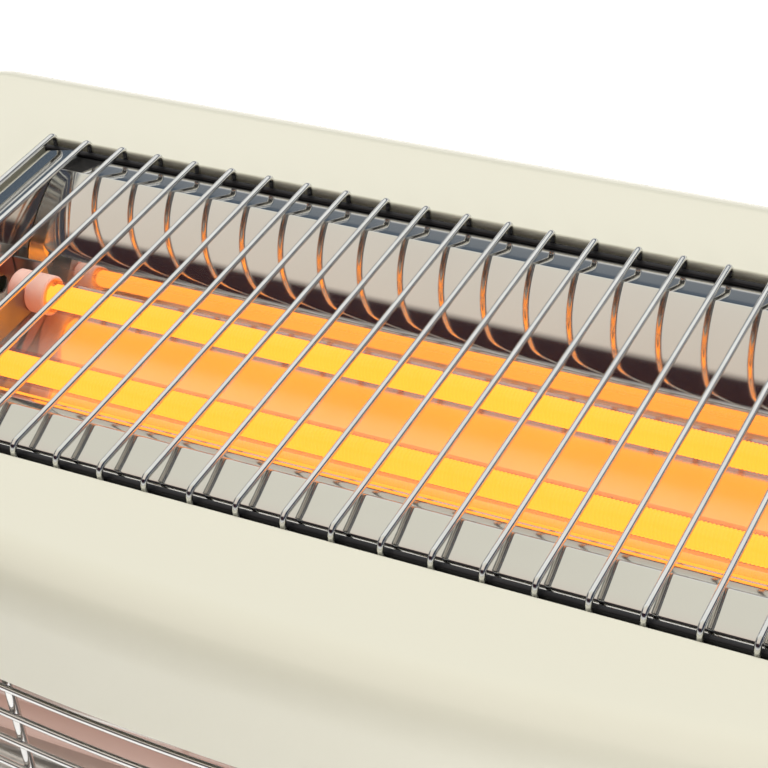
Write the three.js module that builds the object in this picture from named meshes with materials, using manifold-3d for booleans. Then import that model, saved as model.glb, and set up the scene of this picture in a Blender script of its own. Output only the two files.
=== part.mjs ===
// A free-standing electric bar heater: a low sheet-metal console with lit quartz tubes under a wire
// guard in its deck, and a second pair behind a wire guard in its bowed front.
// Millimetres. +X runs along the heater to the right, +Y to the back, +Z up. The origin is on the
// floor, under the middle of the whole heater.
import * as THREE from "three";
import { mergeVertices } from "three/addons/utils/BufferGeometryUtils.js";
import Module from "manifold-3d";

const wasm = await Module();
wasm.setup();

// ---------------------------------------------------------------- driving dimensions
const clearance = 0.3; // between pieces that sit on or in each other
const drill = 0.3; // radial play of a screw or a pin in its hole

const casing = {
  width: 500,
  depth: 242, // from the middle of the bowed front to the flat back
  height: 175,
  sheet: 1.2,
  bowRadius: 946,
  cornerRadius: 25,
  bendRadius: 16,
};
// Each opening keeps its side margin from both ends of the casing.
const deckOpening = { sideMargin: 64, width: 149.8, setBack: 45.2, cornerRadius: 4, lipDepth: 8 };
const frontOpening = { sideMargin: 64, width: 105, drop: 41.9, cornerRadius: 5, lipDepth: 3 };
const rearOpening = { sideMargin: 45, width: 122, sill: 21, cornerRadius: 6 };
const foot = { height: 15, topRadius: 15, soleRadius: 13, fromSide: 52, fromFront: 62, fromBack: 36 };
const basePlate = { sheet: 1.2, rim: 12 };
const screw = { headRadius: 3.6, headHeight: 2.2, shankRadius: 1.75, shankLength: 9 };

const upperGuard = {
  wireRadius: 1,
  pitch: 14,
  edgeGap: 4, // least distance from the last wire's middle to the opening's end
  rise: 2.3, // from the deck to the middle of the wires
  bendRadius: 2.2,
  railRadius: 1.25,
  railDrop: 4.6, // from the middle of the wires to the middle of the rails
  railEnd: 1.5, // from a rail's end to the opening's edge
  weld: 0.15, // how deep crossing wires sink into each other
};
const lowerGuard = {
  wireRadius: 1,
  pitch: 11,
  edgeGap: 8, // least distance from an outer wire's middle to the opening's edge
  overlap: 4, // how far the wires run behind the casing's edge at each end
  uprightRadius: 1.5,
  uprightCount: 5,
  uprightInset: 12, // from the opening's end to the last upright
  weld: 0.15, // how deep crossing wires sink into each other
};

const upperForm = {
  endGap: 16, // from the end plate to the opening's end
  skirtGap: 5.7, // from the lip's outer fold to the opening's edge
  lipWidth: 12.8,
  lipFall: 2.7,
  depth: 33,
  flareRun: 25.4, // from the floor's fold out to the ridge
  floorRadius: 70,
  flareFoot: 62, // degrees from level, where the flare leaves the floor
  flareTop: 30, // degrees from level, where it reaches the ridge
  tubeInset: 13, // from the floor's fold in to a tube's axis
  tubeDepth: 21.4,
};
const lowerForm = {
  endGap: 16,
  skirtGap: 4,
  lipWidth: 10,
  lipFall: 2.2,
  depth: 31,
  flareRun: 13.5,
  floorRadius: 58,
  flareFoot: 76,
  flareTop: 48,
  tubeInset: 10,
  tubeDepth: 19,
};
const lowerTroughGap = 7.5; // from the bowed skin at the opening's end back to the trough's ridge
const wireToRidge = 1.4; // from the middle of the upper guard's wires to the upper trough's ridge
const reflectorSheet = 0.6;
const endPlate = { sheet: 0.8, margin: 5, leadHoleRadius: 3 };
const shield = { sheet: 0.8, gap: 8, turnUp: 11 };
const flangeWidth = 7;

const tube = { radius: 5.25, wall: 1, socket: 10 };
const cap = { radius: 6.5, length: 22, endGap: 6, grooveAt: 15, grooveWidth: 1.4, grooveRadius: 4.2 };
const element = { coilRadius: 3.5, coldEnd: 16, leadRadius: 0.8, tail: 10 };
const bracket = { sheet: 0.8, side: 8.5, above: 6, below: 5.5 };

const rocker = { spacing: 42, fromOpeningMiddle: 12, halfWidth: 7, radius: 11.2 };
const rockerTilt = 10; // degrees each side of level
const rockerForm = { faceRise: 1.6, edgeAngle: 14, skirtAngle: 30, pinRadius: 1.5, pinLength: 1 };
const bezel = { border: 3.2, wall: 1.4, height: 2, boxDepth: 20, cornerRadius: 2 };
const rockerPivot = -1.2; // below the deck side of the bezel's border

const tipSwitch = { fromSide: 100, fromBack: 62, width: 24, length: 20, height: 26, roof: 3 };
const plunger = { radius: 4, collarRadius: 5.6, collarAt: 7, collar: 2, reach: 18, lift: 0.4 };

const handle = { halfSpan: 50, drop: 42, rodRadius: 3, bendRadius: 6, gripRadius: 7, gripLength: 72 };
const handleBracket = { width: 10, height: 24, plate: 2, behind: 5, gap: 1 };
const handlePivotDrop = 18; // below the rear opening's top edge
const rearPanel = { sheet: 1.2, overlap: 9, cornerRadius: 8, screwInset: 5 };
const louvre = { width: 3.4, height: 26, pitch: 11, count: 12, rowHeight: 36, firstRowDrop: 35 };
const gland = { fromSide: 85, aboveSill: 16, bore: 4, neckRadius: 7, flangeRadius: 10.5, flange: 3, barb: 0.9 };
const terminalBlock = { fromSide: 110, fromBack: 70, length: 54, width: 22, height: 17, ways: 3 };
const cutOut = { x: 60, radius: 8, height: 7, plate: 1, plateLength: 30, plateWidth: 12, blade: 9 };
const leg = { width: 22, setBack: 6, foot: 14 };

// ---------------------------------------------------------------- places worked out from them
const deckZ = foot.height + casing.height;
const wireZ = deckZ + upperGuard.rise;
const ridgeZ = wireZ - wireToRidge;
const pivotStandOff = clearance + rearPanel.sheet + handle.gripRadius + 1;
const rearReach = pivotStandOff + handle.gripRadius;
const frontY = -(casing.depth + rearReach) / 2;
const backY = frontY + casing.depth;
const deckMiddleY = frontY + deckOpening.setBack + deckOpening.width / 2;
const frontTopZ = deckZ - frontOpening.drop;
const frontMiddleZ = frontTopZ - frontOpening.width / 2;
const rearSillZ = foot.height + rearOpening.sill;
const rearMiddleZ = rearSillZ + rearOpening.width / 2;
const openingLength = (opening) => casing.width - 2 * opening.sideMargin;
const panelOuterY = backY + clearance + rearPanel.sheet;
const baseTopZ = foot.height + basePlate.sheet;
const flangeTopZ = deckZ - deckOpening.lipDepth - clearance;

// A trough's form together with the sizes that it takes from the opening it fills.
function fitTrough(form, opening) {
  const halfLength = openingLength(opening) / 2 - form.endGap;
  const ridgeHalf = opening.width / 2 - form.skirtGap - form.lipWidth;
  const floorHalf = ridgeHalf - form.flareRun;
  const tubePitch = 2 * (floorHalf - form.tubeInset);
  const tubeHalf = halfLength - cap.endGap - cap.length; // what shows between the caps
  return { ...form, halfLength, ridgeHalf, floorHalf, tubePitch, tubeHalf };
}

const upperTrough = fitTrough(upperForm, deckOpening);
const lowerTrough = fitTrough(lowerForm, frontOpening);

// ---------------------------------------------------------------- materials
const finish = (color, roughness, metalness) =>
  new THREE.MeshStandardMaterial({ color, roughness, metalness });
const creamEnamel = () => finish(0xe4e0cd, 0.35, 0);
const polished = () => finish(0xd8d4cb, 0.12, 1);
const chrome = () => finish(0xd5dade, 0.1, 1);
const zincSteel = () => finish(0xa9adb0, 0.4, 1);
const quartz = () => {
  const glass = finish(0xffc45a, 0.15, 0);
  glass.transparent = true;
  glass.opacity = 0.45;
  return glass;
};
const glowingWire = () => {
  const wire = finish(0xff9a20, 0.5, 0.4);
  wire.emissive = new THREE.Color(0xff8a18);
  return wire;
};
const ceramic = () => finish(0xe9dccb, 0.6, 0);
const blackPlastic = () => finish(0x18191b, 0.45, 0);
const rubber = () => finish(0x222222, 0.85, 0);

// ---------------------------------------------------------------- solids
// A closed geometry as a solid that can be joined and cut.
function toSolid(geometry) {
  const bare = geometry.clone();
  bare.deleteAttribute("normal");
  bare.deleteAttribute("uv");
  const merged = mergeVertices(bare);
  return new wasm.Manifold(
    new wasm.Mesh({
      numProp: 3,
      vertProperties: merged.attributes.position.array,
      triVerts: new Uint32Array(merged.index.array),
    }),
  );
}

function toGeometry(solid) {
  const mesh = solid.getMesh();
  const geometry = new THREE.BufferGeometry();
  geometry.setAttribute("position", new THREE.BufferAttribute(mesh.vertProperties, 3));
  geometry.setIndex(new THREE.BufferAttribute(mesh.triVerts, 1));
  geometry.computeVertexNormals();
  return geometry;
}

function join(...geometries) {
  return toGeometry(geometries.map(toSolid).reduce((all, next) => all.add(next)));
}

function cut(body, ...tools) {
  return toGeometry(tools.map(toSolid).reduce((left, tool) => left.subtract(tool), toSolid(body)));
}

function common(first, second) {
  return toGeometry(toSolid(first).intersect(toSolid(second)));
}

const X = new THREE.Vector3(1, 0, 0);
const Y = new THREE.Vector3(0, 1, 0);
const Z = new THREE.Vector3(0, 0, 1);
const back = Y.clone().negate();

const degrees = (angle) => THREE.MathUtils.degToRad(angle);
const heading = (angle) => new THREE.Vector2(Math.cos(degrees(angle)), Math.sin(degrees(angle)));

function box(sizeX, sizeY, sizeZ, x, y, z) {
  return new THREE.BoxGeometry(sizeX, sizeY, sizeZ).translate(x, y, z);
}

function extrude(shape, depth, curveSegments = 3) {
  const options = { depth, curveSegments, bevelEnabled: false };
  return new THREE.ExtrudeGeometry(shape, options).translate(0, 0, -depth / 2);
}

// The same along X, with the shape's own x along Y and its y along Z.
function extrudeX(shape, depth, curveSegments) {
  const turn = new THREE.Matrix4().makeBasis(Y, Z, X);
  return extrude(shape, depth, curveSegments).applyMatrix4(turn);
}

// The same along Y, with the shape's own x along X and its y along Z.
function extrudeY(shape, depth, curveSegments) {
  const turn = new THREE.Matrix4().makeBasis(X, Z, back);
  return extrude(shape, depth, curveSegments).applyMatrix4(turn);
}

function roundedRectangle(width, height, radius) {
  const shape = new THREE.Shape();
  const x = width / 2 - radius;
  const y = height / 2 - radius;
  shape.absarc(x, y, radius, 0, Math.PI / 2);
  shape.absarc(-x, y, radius, Math.PI / 2, Math.PI);
  shape.absarc(-x, -y, radius, Math.PI, 1.5 * Math.PI);
  shape.absarc(x, -y, radius, 1.5 * Math.PI, 2 * Math.PI);
  return shape;
}

// A turned piece about Z from a closed profile of [radius, height] pairs, listed anticlockwise.
function turned(profile, sides = 16) {
  const points = profile.map(([radius, height]) => new THREE.Vector2(radius, height));
  points.push(points[0].clone());
  return new THREE.LatheGeometry(points, sides).rotateX(Math.PI / 2);
}

function cylinder(radius, length, sides = 16) {
  return new THREE.CylinderGeometry(radius, radius, length, sides);
}

// A path whose spaced points are exactly the given stations.
class Stations extends THREE.Curve {
  constructor(points) {
    super();
    this.points = points;
  }

  getPoint(t, target = new THREE.Vector3()) {
    const place = t * (this.points.length - 1);
    const index = Math.min(Math.floor(place), this.points.length - 2);
    return target.lerpVectors(this.points[index], this.points[index + 1], place - index);
  }

  getPointAt(u, target) {
    return this.getPoint(u, target);
  }

  getTangentAt(u, target = new THREE.Vector3()) {
    const last = this.points.length - 1;
    const index = Math.round(u * last);
    const before = this.points[Math.max(index - 1, 0)];
    const after = this.points[Math.min(index + 1, last)];
    return target.subVectors(after, before).normalize();
  }
}

function rod(points, radius, sides = 6) {
  const round = new THREE.Shape(arcPoints(0, 0, radius, 0, 2 * Math.PI, sides).slice(1));
  const extrudePath = new Stations(points);
  return new THREE.ExtrudeGeometry(round, { steps: points.length - 1, extrudePath });
}

// Points of a quarter bend about a centre, from one direction to another.
function bend(centre, from, to, radius, steps = 2) {
  return Array.from({ length: steps + 1 }, (_, index) => {
    const angle = ((Math.PI / 2) * index) / steps;
    return centre
      .clone()
      .addScaledVector(from, radius * Math.cos(angle))
      .addScaledVector(to, radius * Math.sin(angle));
  });
}

// A closed skin over level rings that all have as many points, anticlockwise from above.
function loft(rings) {
  const count = rings[0].length;
  const positions = rings.flatMap((ring) => ring.flatMap((point) => point.toArray()));
  const indices = [];
  rings.slice(1).forEach((_, ring) => {
    for (let index = 0; index < count; index += 1) {
      const a = ring * count + index;
      const b = ring * count + ((index + 1) % count);
      indices.push(a, b, b + count, a, b + count, a + count);
    }
  });
  const flat = rings[0].map((point) => new THREE.Vector2(point.x, point.y));
  const top = (rings.length - 1) * count;
  THREE.ShapeUtils.triangulateShape(flat, []).forEach(([a, b, c]) => {
    indices.push(a, c, b, top + a, top + b, top + c);
  });
  const geometry = new THREE.BufferGeometry();
  geometry.setAttribute("position", new THREE.Float32BufferAttribute(positions, 3));
  geometry.setIndex(indices);
  return geometry;
}

// The outline of a folded sheet: a line of points, and the same line one thickness to its right.
function ribbon(points, thickness) {
  const last = points.length - 1;
  const side = points.map((point, index) => {
    const into = point.clone().sub(points[Math.max(index - 1, 0)]);
    const out = points[Math.min(index + 1, last)].clone().sub(point);
    const first = index === 0 ? out : into;
    const second = index === last ? into : out;
    const right = new THREE.Vector2(first.y, -first.x).normalize();
    const next = new THREE.Vector2(second.y, -second.x).normalize();
    const middle = right.clone().add(next).normalize();
    return point.clone().addScaledVector(middle, thickness / middle.dot(right));
  });
  return new THREE.Shape([...side, ...points.slice().reverse()]);
}

const heater = new THREE.Group();

function place(parent, name, geometry, material) {
  const mesh = new THREE.Mesh(geometry, material);
  mesh.name = name;
  parent.add(mesh);
  return mesh;
}

// ---------------------------------------------------------------- casing
const bowMiddleY = frontY + casing.bowRadius;

// How far the bowed front has curved back from its middle, at a place along the heater.
function bowSag(x, inset = 0) {
  const radius = casing.bowRadius - inset;
  return casing.bowRadius - Math.sqrt(radius * radius - x * x);
}

const lowerRidgeSetBack = bowSag(openingLength(frontOpening) / 2) + lowerTroughGap;

function arcPoints(x, y, radius, from, to, steps) {
  return Array.from({ length: steps + 1 }, (_, index) => {
    const angle = from + ((to - from) * index) / steps;
    return new THREE.Vector2(x + radius * Math.cos(angle), y + radius * Math.sin(angle));
  });
}

// The casing's plan at one level, drawn in by an even inset.
function planOutline(inset) {
  const corner = casing.cornerRadius - inset;
  const cornerX = casing.width / 2 - casing.cornerRadius;
  const rearY = backY - casing.cornerRadius;
  const toCorner = casing.bowRadius - casing.cornerRadius;
  const frontCornerY = bowMiddleY - Math.sqrt(toCorner * toCorner - cornerX * cornerX);
  const meet = Math.atan2(cornerX, bowMiddleY - frontCornerY);
  const down = -Math.PI / 2;
  return [
    ...arcPoints(cornerX, rearY, corner, 0, Math.PI / 2, 4),
    ...arcPoints(-cornerX, rearY, corner, Math.PI / 2, Math.PI, 4),
    ...arcPoints(-cornerX, frontCornerY, corner, Math.PI, 1.5 * Math.PI - meet, 4),
    ...arcPoints(0, bowMiddleY, casing.bowRadius - inset, down - meet, down + meet, 16).slice(1, -1),
    ...arcPoints(cornerX, frontCornerY, corner, down + meet, 0, 4),
  ];
}

function levelRing(inset, z) {
  return planOutline(inset).map((point) => new THREE.Vector3(point.x, point.y, z));
}

// The casing's outer skin drawn in by an even inset, as a solid.
function casingBody(inset, bottomZ) {
  const radius = casing.bendRadius - inset;
  const rings = [levelRing(inset, bottomZ)];
  const steps = 4;
  for (let step = 0; step <= steps; step += 1) {
    const angle = ((Math.PI / 2) * step) / steps;
    const drawnIn = casing.bendRadius - radius * Math.cos(angle);
    rings.push(levelRing(drawnIn, deckZ - casing.bendRadius + radius * Math.sin(angle)));
  }
  return loft(rings);
}

function openingShape(opening, grow = 0) {
  const length = openingLength(opening) + 2 * grow;
  return roundedRectangle(length, opening.width + 2 * grow, opening.cornerRadius + grow);
}

function deckPlug(grow, depth) {
  const shape = openingShape(deckOpening, grow);
  return extrude(shape, depth).translate(0, deckMiddleY, deckZ - depth / 2);
}

function frontPlug(grow) {
  const depth = 2 * lowerRidgeSetBack;
  const shape = openingShape(frontOpening, grow);
  return extrudeY(shape, depth).translate(0, frontY, frontMiddleZ);
}

function rearPlug() {
  const shape = openingShape(rearOpening);
  return extrudeY(shape, 2 * casing.cornerRadius).translate(0, backY, rearMiddleZ);
}

const rearScrewPlaces = [-1, 1].flatMap((side) =>
  [-1, 1].map((row) => ({
    x: side * (openingLength(rearOpening) / 2 + rearPanel.overlap - rearPanel.screwInset),
    z: rearMiddleZ + row * (rearOpening.width / 2 + rearPanel.overlap - rearPanel.screwInset),
  })),
);

function rearScrewHole({ x, z }) {
  const hole = cylinder(screw.shankRadius + drill, 4 * screw.shankLength, 10);
  return hole.translate(x, backY, z);
}

// The switches stand in the middle of the flat strip between the deck opening and the bend.
const switchX = (openingLength(deckOpening) / 2 + casing.width / 2 - casing.bendRadius) / 2;
const switchYs = [-1, 1].map(
  (side) => deckMiddleY + rocker.fromOpeningMiddle + (side * rocker.spacing) / 2,
);
const switchBox = {
  width: 2 * (rocker.halfWidth + rockerForm.pinLength + bezel.wall),
  length: 2 * (rocker.radius + clearance + bezel.wall),
};

function switchCutOut(y) {
  const width = switchBox.width + 2 * clearance;
  const length = switchBox.length + 2 * clearance;
  return box(width, length, 4 * casing.sheet, switchX, y, deckZ);
}

function casingGeometry() {
  const shell = cut(casingBody(0, foot.height), casingBody(casing.sheet, foot.height - 1));
  const pierced = cut(
    shell,
    deckPlug(0, 2 * casing.sheet),
    frontPlug(0),
    rearPlug(),
    ...rearScrewPlaces.map(rearScrewHole),
    ...switchYs.map(switchCutOut),
  );
  const deckLip = cut(
    deckPlug(casing.sheet, deckOpening.lipDepth),
    deckPlug(0, 3 * deckOpening.lipDepth),
  );
  const frontSkin = cut(
    casingBody(0, foot.height),
    casingBody(frontOpening.lipDepth, foot.height - 1),
  );
  const frontLip = common(cut(frontPlug(casing.sheet), frontPlug(0)), frontSkin);
  return join(pierced, deckLip, frontLip);
}

place(heater, "casing", casingGeometry(), creamEnamel());

// ---------------------------------------------------------------- base plate, feet and their screws
const feetPlaces = [
  { x: -1, y: frontY + foot.fromFront },
  { x: 1, y: frontY + foot.fromFront },
  { x: -1, y: backY - foot.fromBack },
  { x: 1, y: backY - foot.fromBack },
].map(({ x, y }) => ({ x: x * (casing.width / 2 - foot.fromSide), y }));
const tipSwitchX = casing.width / 2 - tipSwitch.fromSide;
const tipSwitchY = backY - tipSwitch.fromBack;

function basePlateGeometry() {
  const outer = casing.sheet + clearance;
  const tray = loft([
    levelRing(outer, foot.height),
    levelRing(outer, foot.height + basePlate.rim),
  ]);
  const hollow = loft([
    levelRing(outer + basePlate.sheet, baseTopZ),
    levelRing(outer + basePlate.sheet, foot.height + 2 * basePlate.rim),
  ]);
  const standing = (radius, x, y) =>
    cylinder(radius, 4 * basePlate.sheet, 12).rotateX(Math.PI / 2).translate(x, y, foot.height);
  const screwHoles = feetPlaces.map(({ x, y }) => standing(screw.shankRadius + drill, x, y));
  const plungerHole = standing(plunger.radius + drill, tipSwitchX, tipSwitchY);
  return cut(tray, hollow, plungerHole, ...screwHoles);
}

place(heater, "base_plate", basePlateGeometry(), zincSteel());

function footGeometry() {
  const recess = foot.height / 2;
  return turned([
    [screw.shankRadius + drill, recess],
    [screw.headRadius + drill, recess],
    [screw.headRadius + drill, 0],
    [foot.soleRadius - 1, 0],
    [foot.soleRadius, 1],
    [foot.topRadius, foot.height - 2],
    [foot.topRadius, foot.height - clearance],
    [screw.shankRadius + drill, foot.height - clearance],
  ], 10);
}

// A pan-head screw whose head's underside is at the origin and whose shank points up.
function screwGeometry(length) {
  return turned([
    [0, -screw.headHeight],
    [screw.headRadius * 0.6, -screw.headHeight],
    [screw.headRadius, -screw.headHeight * 0.4],
    [screw.headRadius, 0],
    [screw.shankRadius, 0],
    [screw.shankRadius, length],
    [0, length],
  ], 8);
}

feetPlaces.forEach(({ x, y }, index) => {
  place(heater, `foot_${index + 1}`, footGeometry(), rubber()).position.set(x, y, 0);
  const length = foot.height / 2 + screw.shankLength;
  const footScrew = place(heater, `foot_screw_${index + 1}`, screwGeometry(length), zincSteel());
  footScrew.position.set(x, y, foot.height / 2 - clearance);
});

// ---------------------------------------------------------------- troughs with their tubes
// A trough is built lying open upwards: X along it, Y across it, Z up, with Z = 0 at its ridges.

// Half of its section, from the middle of the floor to the flange, as (across, up) points.
function troughHalf(trough, flangeDrop) {
  const floorAngle = Math.asin(trough.floorHalf / trough.floorRadius);
  const down = -Math.PI / 2;
  const centreZ = trough.floorRadius - trough.depth;
  const floor = arcPoints(0, centreZ, trough.floorRadius, down, down + floorAngle, 5);
  const fold = floor[floor.length - 1];
  const ridge = new THREE.Vector2(trough.ridgeHalf, 0);
  const rise = heading(trough.flareFoot);
  const top = heading(trough.flareTop);
  const span = ridge.clone().sub(fold);
  const along = span.cross(top) / rise.cross(top);
  const control = fold.clone().addScaledVector(rise, along);
  const flare = new THREE.QuadraticBezierCurve(fold, control, ridge).getPoints(6).slice(1);
  const outer = trough.ridgeHalf + trough.lipWidth;
  return [
    ...floor,
    ...flare,
    new THREE.Vector2(outer, -trough.lipFall),
    new THREE.Vector2(outer, -flangeDrop),
    new THREE.Vector2(outer + flangeWidth, -flangeDrop),
  ];
}

// The whole section of a trough as one folded sheet.
function reflectorGeometry(trough, flangeDrop) {
  const half = troughHalf(trough, flangeDrop);
  const mirrored = half.slice(1).map((point) => new THREE.Vector2(-point.x, point.y));
  const section = ribbon([...mirrored.reverse(), ...half], reflectorSheet);
  return extrudeX(section, 2 * (trough.halfLength - clearance));
}

// The plate that closes a trough's right-hand end, with the lip that carries on round the opening.
// Where it stands on the base plate, it has a leg that reaches that far.
function endPlateGeometry(trough, flangeDrop, legReach) {
  const low = -(trough.depth + endPlate.margin);
  const wall = new THREE.Shape([
    new THREE.Vector2(-trough.floorHalf - endPlate.margin, low),
    new THREE.Vector2(trough.floorHalf + endPlate.margin, low),
    new THREE.Vector2(trough.ridgeHalf, 0),
    new THREE.Vector2(-trough.ridgeHalf, 0),
  ]);
  const lip = ribbon([
    new THREE.Vector2(0, -flangeDrop),
    new THREE.Vector2(0, 0),
    new THREE.Vector2(trough.lipWidth, -trough.lipFall),
    new THREE.Vector2(trough.lipWidth, -flangeDrop),
    new THREE.Vector2(trough.lipWidth + flangeWidth, -flangeDrop),
  ], endPlate.sheet);
  const pieces = [
    extrudeX(wall, endPlate.sheet).translate(endPlate.sheet / 2, 0, 0),
    extrudeY(lip, 2 * (trough.ridgeHalf + trough.lipWidth)),
  ];
  if (legReach) {
    const length = legReach - trough.floorHalf;
    const middle = -(legReach + trough.floorHalf) / 2;
    const legZ = low + leg.setBack + leg.width / 2;
    const sheet = endPlate.sheet;
    pieces.push(box(sheet, length, leg.width, sheet / 2, middle, legZ));
    pieces.push(box(leg.foot, sheet, leg.width, leg.foot / 2, -legReach + sheet / 2, legZ));
  }
  const holes = [-1, 1].map((side) =>
    cylinder(endPlate.leadHoleRadius, 4, 10)
      .rotateZ(Math.PI / 2)
      .translate(0, (side * trough.tubePitch) / 2, -trough.tubeDepth),
  );
  return cut(join(...pieces), ...holes);
}

// The notched plate that holds both caps at one end by their grooves, with a tab at each side that
// runs back to the end plate.
function bracketGeometry(trough) {
  const plateX = trough.tubeHalf + cap.grooveAt + cap.grooveWidth / 2;
  const half = trough.tubePitch / 2 + bracket.side;
  const height = bracket.above + bracket.below;
  const middleZ = (bracket.above - bracket.below) / 2 - trough.tubeDepth;
  const tabLength = trough.halfLength - clearance - plateX;
  const tabs = [-1, 1].map((side) => {
    const tabY = side * (half - bracket.sheet / 2);
    return box(tabLength, bracket.sheet, height, plateX + tabLength / 2, tabY, middleZ);
  });
  const plate = box(bracket.sheet, 2 * half, height, plateX, 0, middleZ);
  const notchRadius = cap.grooveRadius + clearance;
  const notches = [-1, 1].flatMap((side) => {
    const y = (side * trough.tubePitch) / 2;
    const mouth = box(4, 2 * notchRadius, height, plateX, y, -trough.tubeDepth + height / 2);
    const seat = cylinder(notchRadius, 4, 12).rotateZ(Math.PI / 2);
    return [mouth, seat.translate(plateX, y, -trough.tubeDepth)];
  });
  return cut(join(plate, ...tabs), ...notches);
}

const alongX = (geometry) => geometry.rotateY(Math.PI / 2);

function tubeGeometry(trough) {
  const half = trough.tubeHalf + tube.socket;
  const bore = tube.radius - tube.wall;
  return alongX(turned([
    [bore, -half],
    [tube.radius, -half],
    [tube.radius, half],
    [bore, half],
  ], 12));
}

// The ceramic cap on a tube's right-hand end. Its open end faces the tube.
function capGeometry() {
  const socket = tube.radius + clearance;
  const hole = element.leadRadius + clearance;
  const grooveEnd = cap.grooveAt + cap.grooveWidth;
  const bottom = tube.socket + clearance;
  return alongX(turned([
    [socket, 0],
    [cap.radius, 0],
    [cap.radius, cap.grooveAt],
    [cap.grooveRadius, cap.grooveAt],
    [cap.grooveRadius, grooveEnd],
    [cap.radius, grooveEnd],
    [cap.radius, cap.length],
    [hole, cap.length],
    [hole, bottom],
    [socket, bottom],
  ], 10));
}

// The close-wound heating coil as its outer form, with a straight lead at each end.
function elementGeometry(trough) {
  const end = trough.tubeHalf + cap.length + element.tail;
  const coil = trough.tubeHalf - element.coldEnd;
  const taper = element.coilRadius;
  return alongX(turned([
    [0, -end],
    [element.leadRadius, -end],
    [element.leadRadius, -coil - taper],
    [element.coilRadius, -coil],
    [element.coilRadius, coil],
    [element.leadRadius, coil + taper],
    [element.leadRadius, end],
    [0, end],
  ], 10));
}

// A piece at the right-hand end and its mirror image at the left-hand end.
function placeBothEnds(parent, name, geometry, material, position) {
  place(parent, `${name}_right`, geometry, material).position.copy(position);
  const left = place(parent, `${name}_left`, geometry, material);
  left.position.copy(position).setX(-position.x);
  left.scale.x = -1;
}

function troughAssembly(name, trough, flangeDrop, legReach, tubeNames) {
  const group = new THREE.Group();
  place(group, `${name}_reflector`, reflectorGeometry(trough, flangeDrop), polished());
  const end = new THREE.Vector3(trough.halfLength, 0, 0);
  const plate = endPlateGeometry(trough, flangeDrop, legReach);
  placeBothEnds(group, `${name}_end_plate`, plate, polished(), end);
  const middle = new THREE.Vector3();
  placeBothEnds(group, `${name}_tube_bracket`, bracketGeometry(trough), zincSteel(), middle);
  tubeNames.forEach((tubeName, index) => {
    const side = index - (tubeNames.length - 1) / 2;
    const axis = new THREE.Vector3(0, side * trough.tubePitch, -trough.tubeDepth);
    const capPlace = axis.clone().setX(trough.tubeHalf);
    const coil = elementGeometry(trough);
    place(group, `${tubeName}_tube`, tubeGeometry(trough), quartz()).position.copy(axis);
    place(group, `${tubeName}_element`, coil, glowingWire()).position.copy(axis);
    placeBothEnds(group, `${tubeName}_cap`, capGeometry(), ceramic(), capPlace);
  });
  heater.add(group);
  return group;
}

const flangeDrop = ridgeZ - flangeTopZ;
const upper = troughAssembly("upper", upperTrough, flangeDrop, 0, ["upper_front", "upper_rear"]);
upper.position.set(0, deckMiddleY, ridgeZ);

const legReach = frontMiddleZ - baseTopZ - clearance;
const lower = troughAssembly("lower", lowerTrough, flangeDrop, legReach, ["lower_bottom", "lower_top"]);
lower.position.set(0, frontY + lowerRidgeSetBack, frontMiddleZ);
lower.rotation.x = Math.PI / 2;

// ---------------------------------------------------------------- guards
function upperGuardGeometry() {
  const halfSpan = deckOpening.width / 2 - clearance - upperGuard.wireRadius;
  const nearY = deckMiddleY - halfSpan;
  const farY = deckMiddleY + halfSpan;
  const radius = upperGuard.bendRadius;
  const halfLength = openingLength(deckOpening) / 2;
  const eachSide = Math.floor((halfLength - upperGuard.edgeGap) / upperGuard.pitch);
  const wires = Array.from({ length: 2 * eachSide + 1 }, (_, index) => {
    const x = (index - eachSide) * upperGuard.pitch;
    const at = (y, z) => new THREE.Vector3(x, y, z);
    const legEnd = flangeTopZ + clearance;
    return rod([
      at(nearY, legEnd),
      ...bend(at(nearY + radius, wireZ - radius), back, Z, radius),
      ...bend(at(farY - radius, wireZ - radius), Z, Y, radius),
      at(farY, legEnd),
    ], upperGuard.wireRadius);
  });
  const inset = upperGuard.wireRadius + upperGuard.railRadius - upperGuard.weld;
  const railLength = 2 * (halfLength - upperGuard.railEnd);
  const rails = [nearY + inset, farY - inset].map((y) =>
    cylinder(upperGuard.railRadius, railLength, 8)
      .rotateZ(Math.PI / 2)
      .translate(0, y, wireZ - upperGuard.railDrop),
  );
  return join(...rails, ...wires);
}

function lowerGuardGeometry() {
  const recess = frontOpening.lipDepth + clearance + lowerGuard.wireRadius;
  const halfLength = openingLength(frontOpening) / 2;
  const reach = halfLength + lowerGuard.overlap;
  const steps = 8;
  const gaps = Math.floor((frontOpening.width - 2 * lowerGuard.edgeGap) / lowerGuard.pitch);
  const wires = Array.from({ length: gaps + 1 }, (_, row) => {
    const z = frontMiddleZ + (gaps / 2 - row) * lowerGuard.pitch;
    const stations = Array.from({ length: steps + 1 }, (__, index) => {
      const x = reach * ((2 * index) / steps - 1);
      return new THREE.Vector3(x, frontY + bowSag(x, recess), z);
    });
    return rod(stations, lowerGuard.wireRadius);
  });
  const behind = lowerGuard.wireRadius + lowerGuard.uprightRadius - lowerGuard.weld;
  const length = frontOpening.width + 2 * lowerGuard.overlap;
  const lastUpright = halfLength - lowerGuard.uprightInset;
  const uprights = Array.from({ length: lowerGuard.uprightCount }, (_, index) => {
    const x = lastUpright * ((2 * index) / (lowerGuard.uprightCount - 1) - 1);
    return cylinder(lowerGuard.uprightRadius, length, 8)
      .rotateX(Math.PI / 2)
      .translate(x, frontY + bowSag(x, recess) + behind, frontMiddleZ);
  });
  return join(...uprights, ...wires);
}

place(heater, "upper_guard", upperGuardGeometry(), chrome());
place(heater, "lower_guard", lowerGuardGeometry(), chrome());

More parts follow.
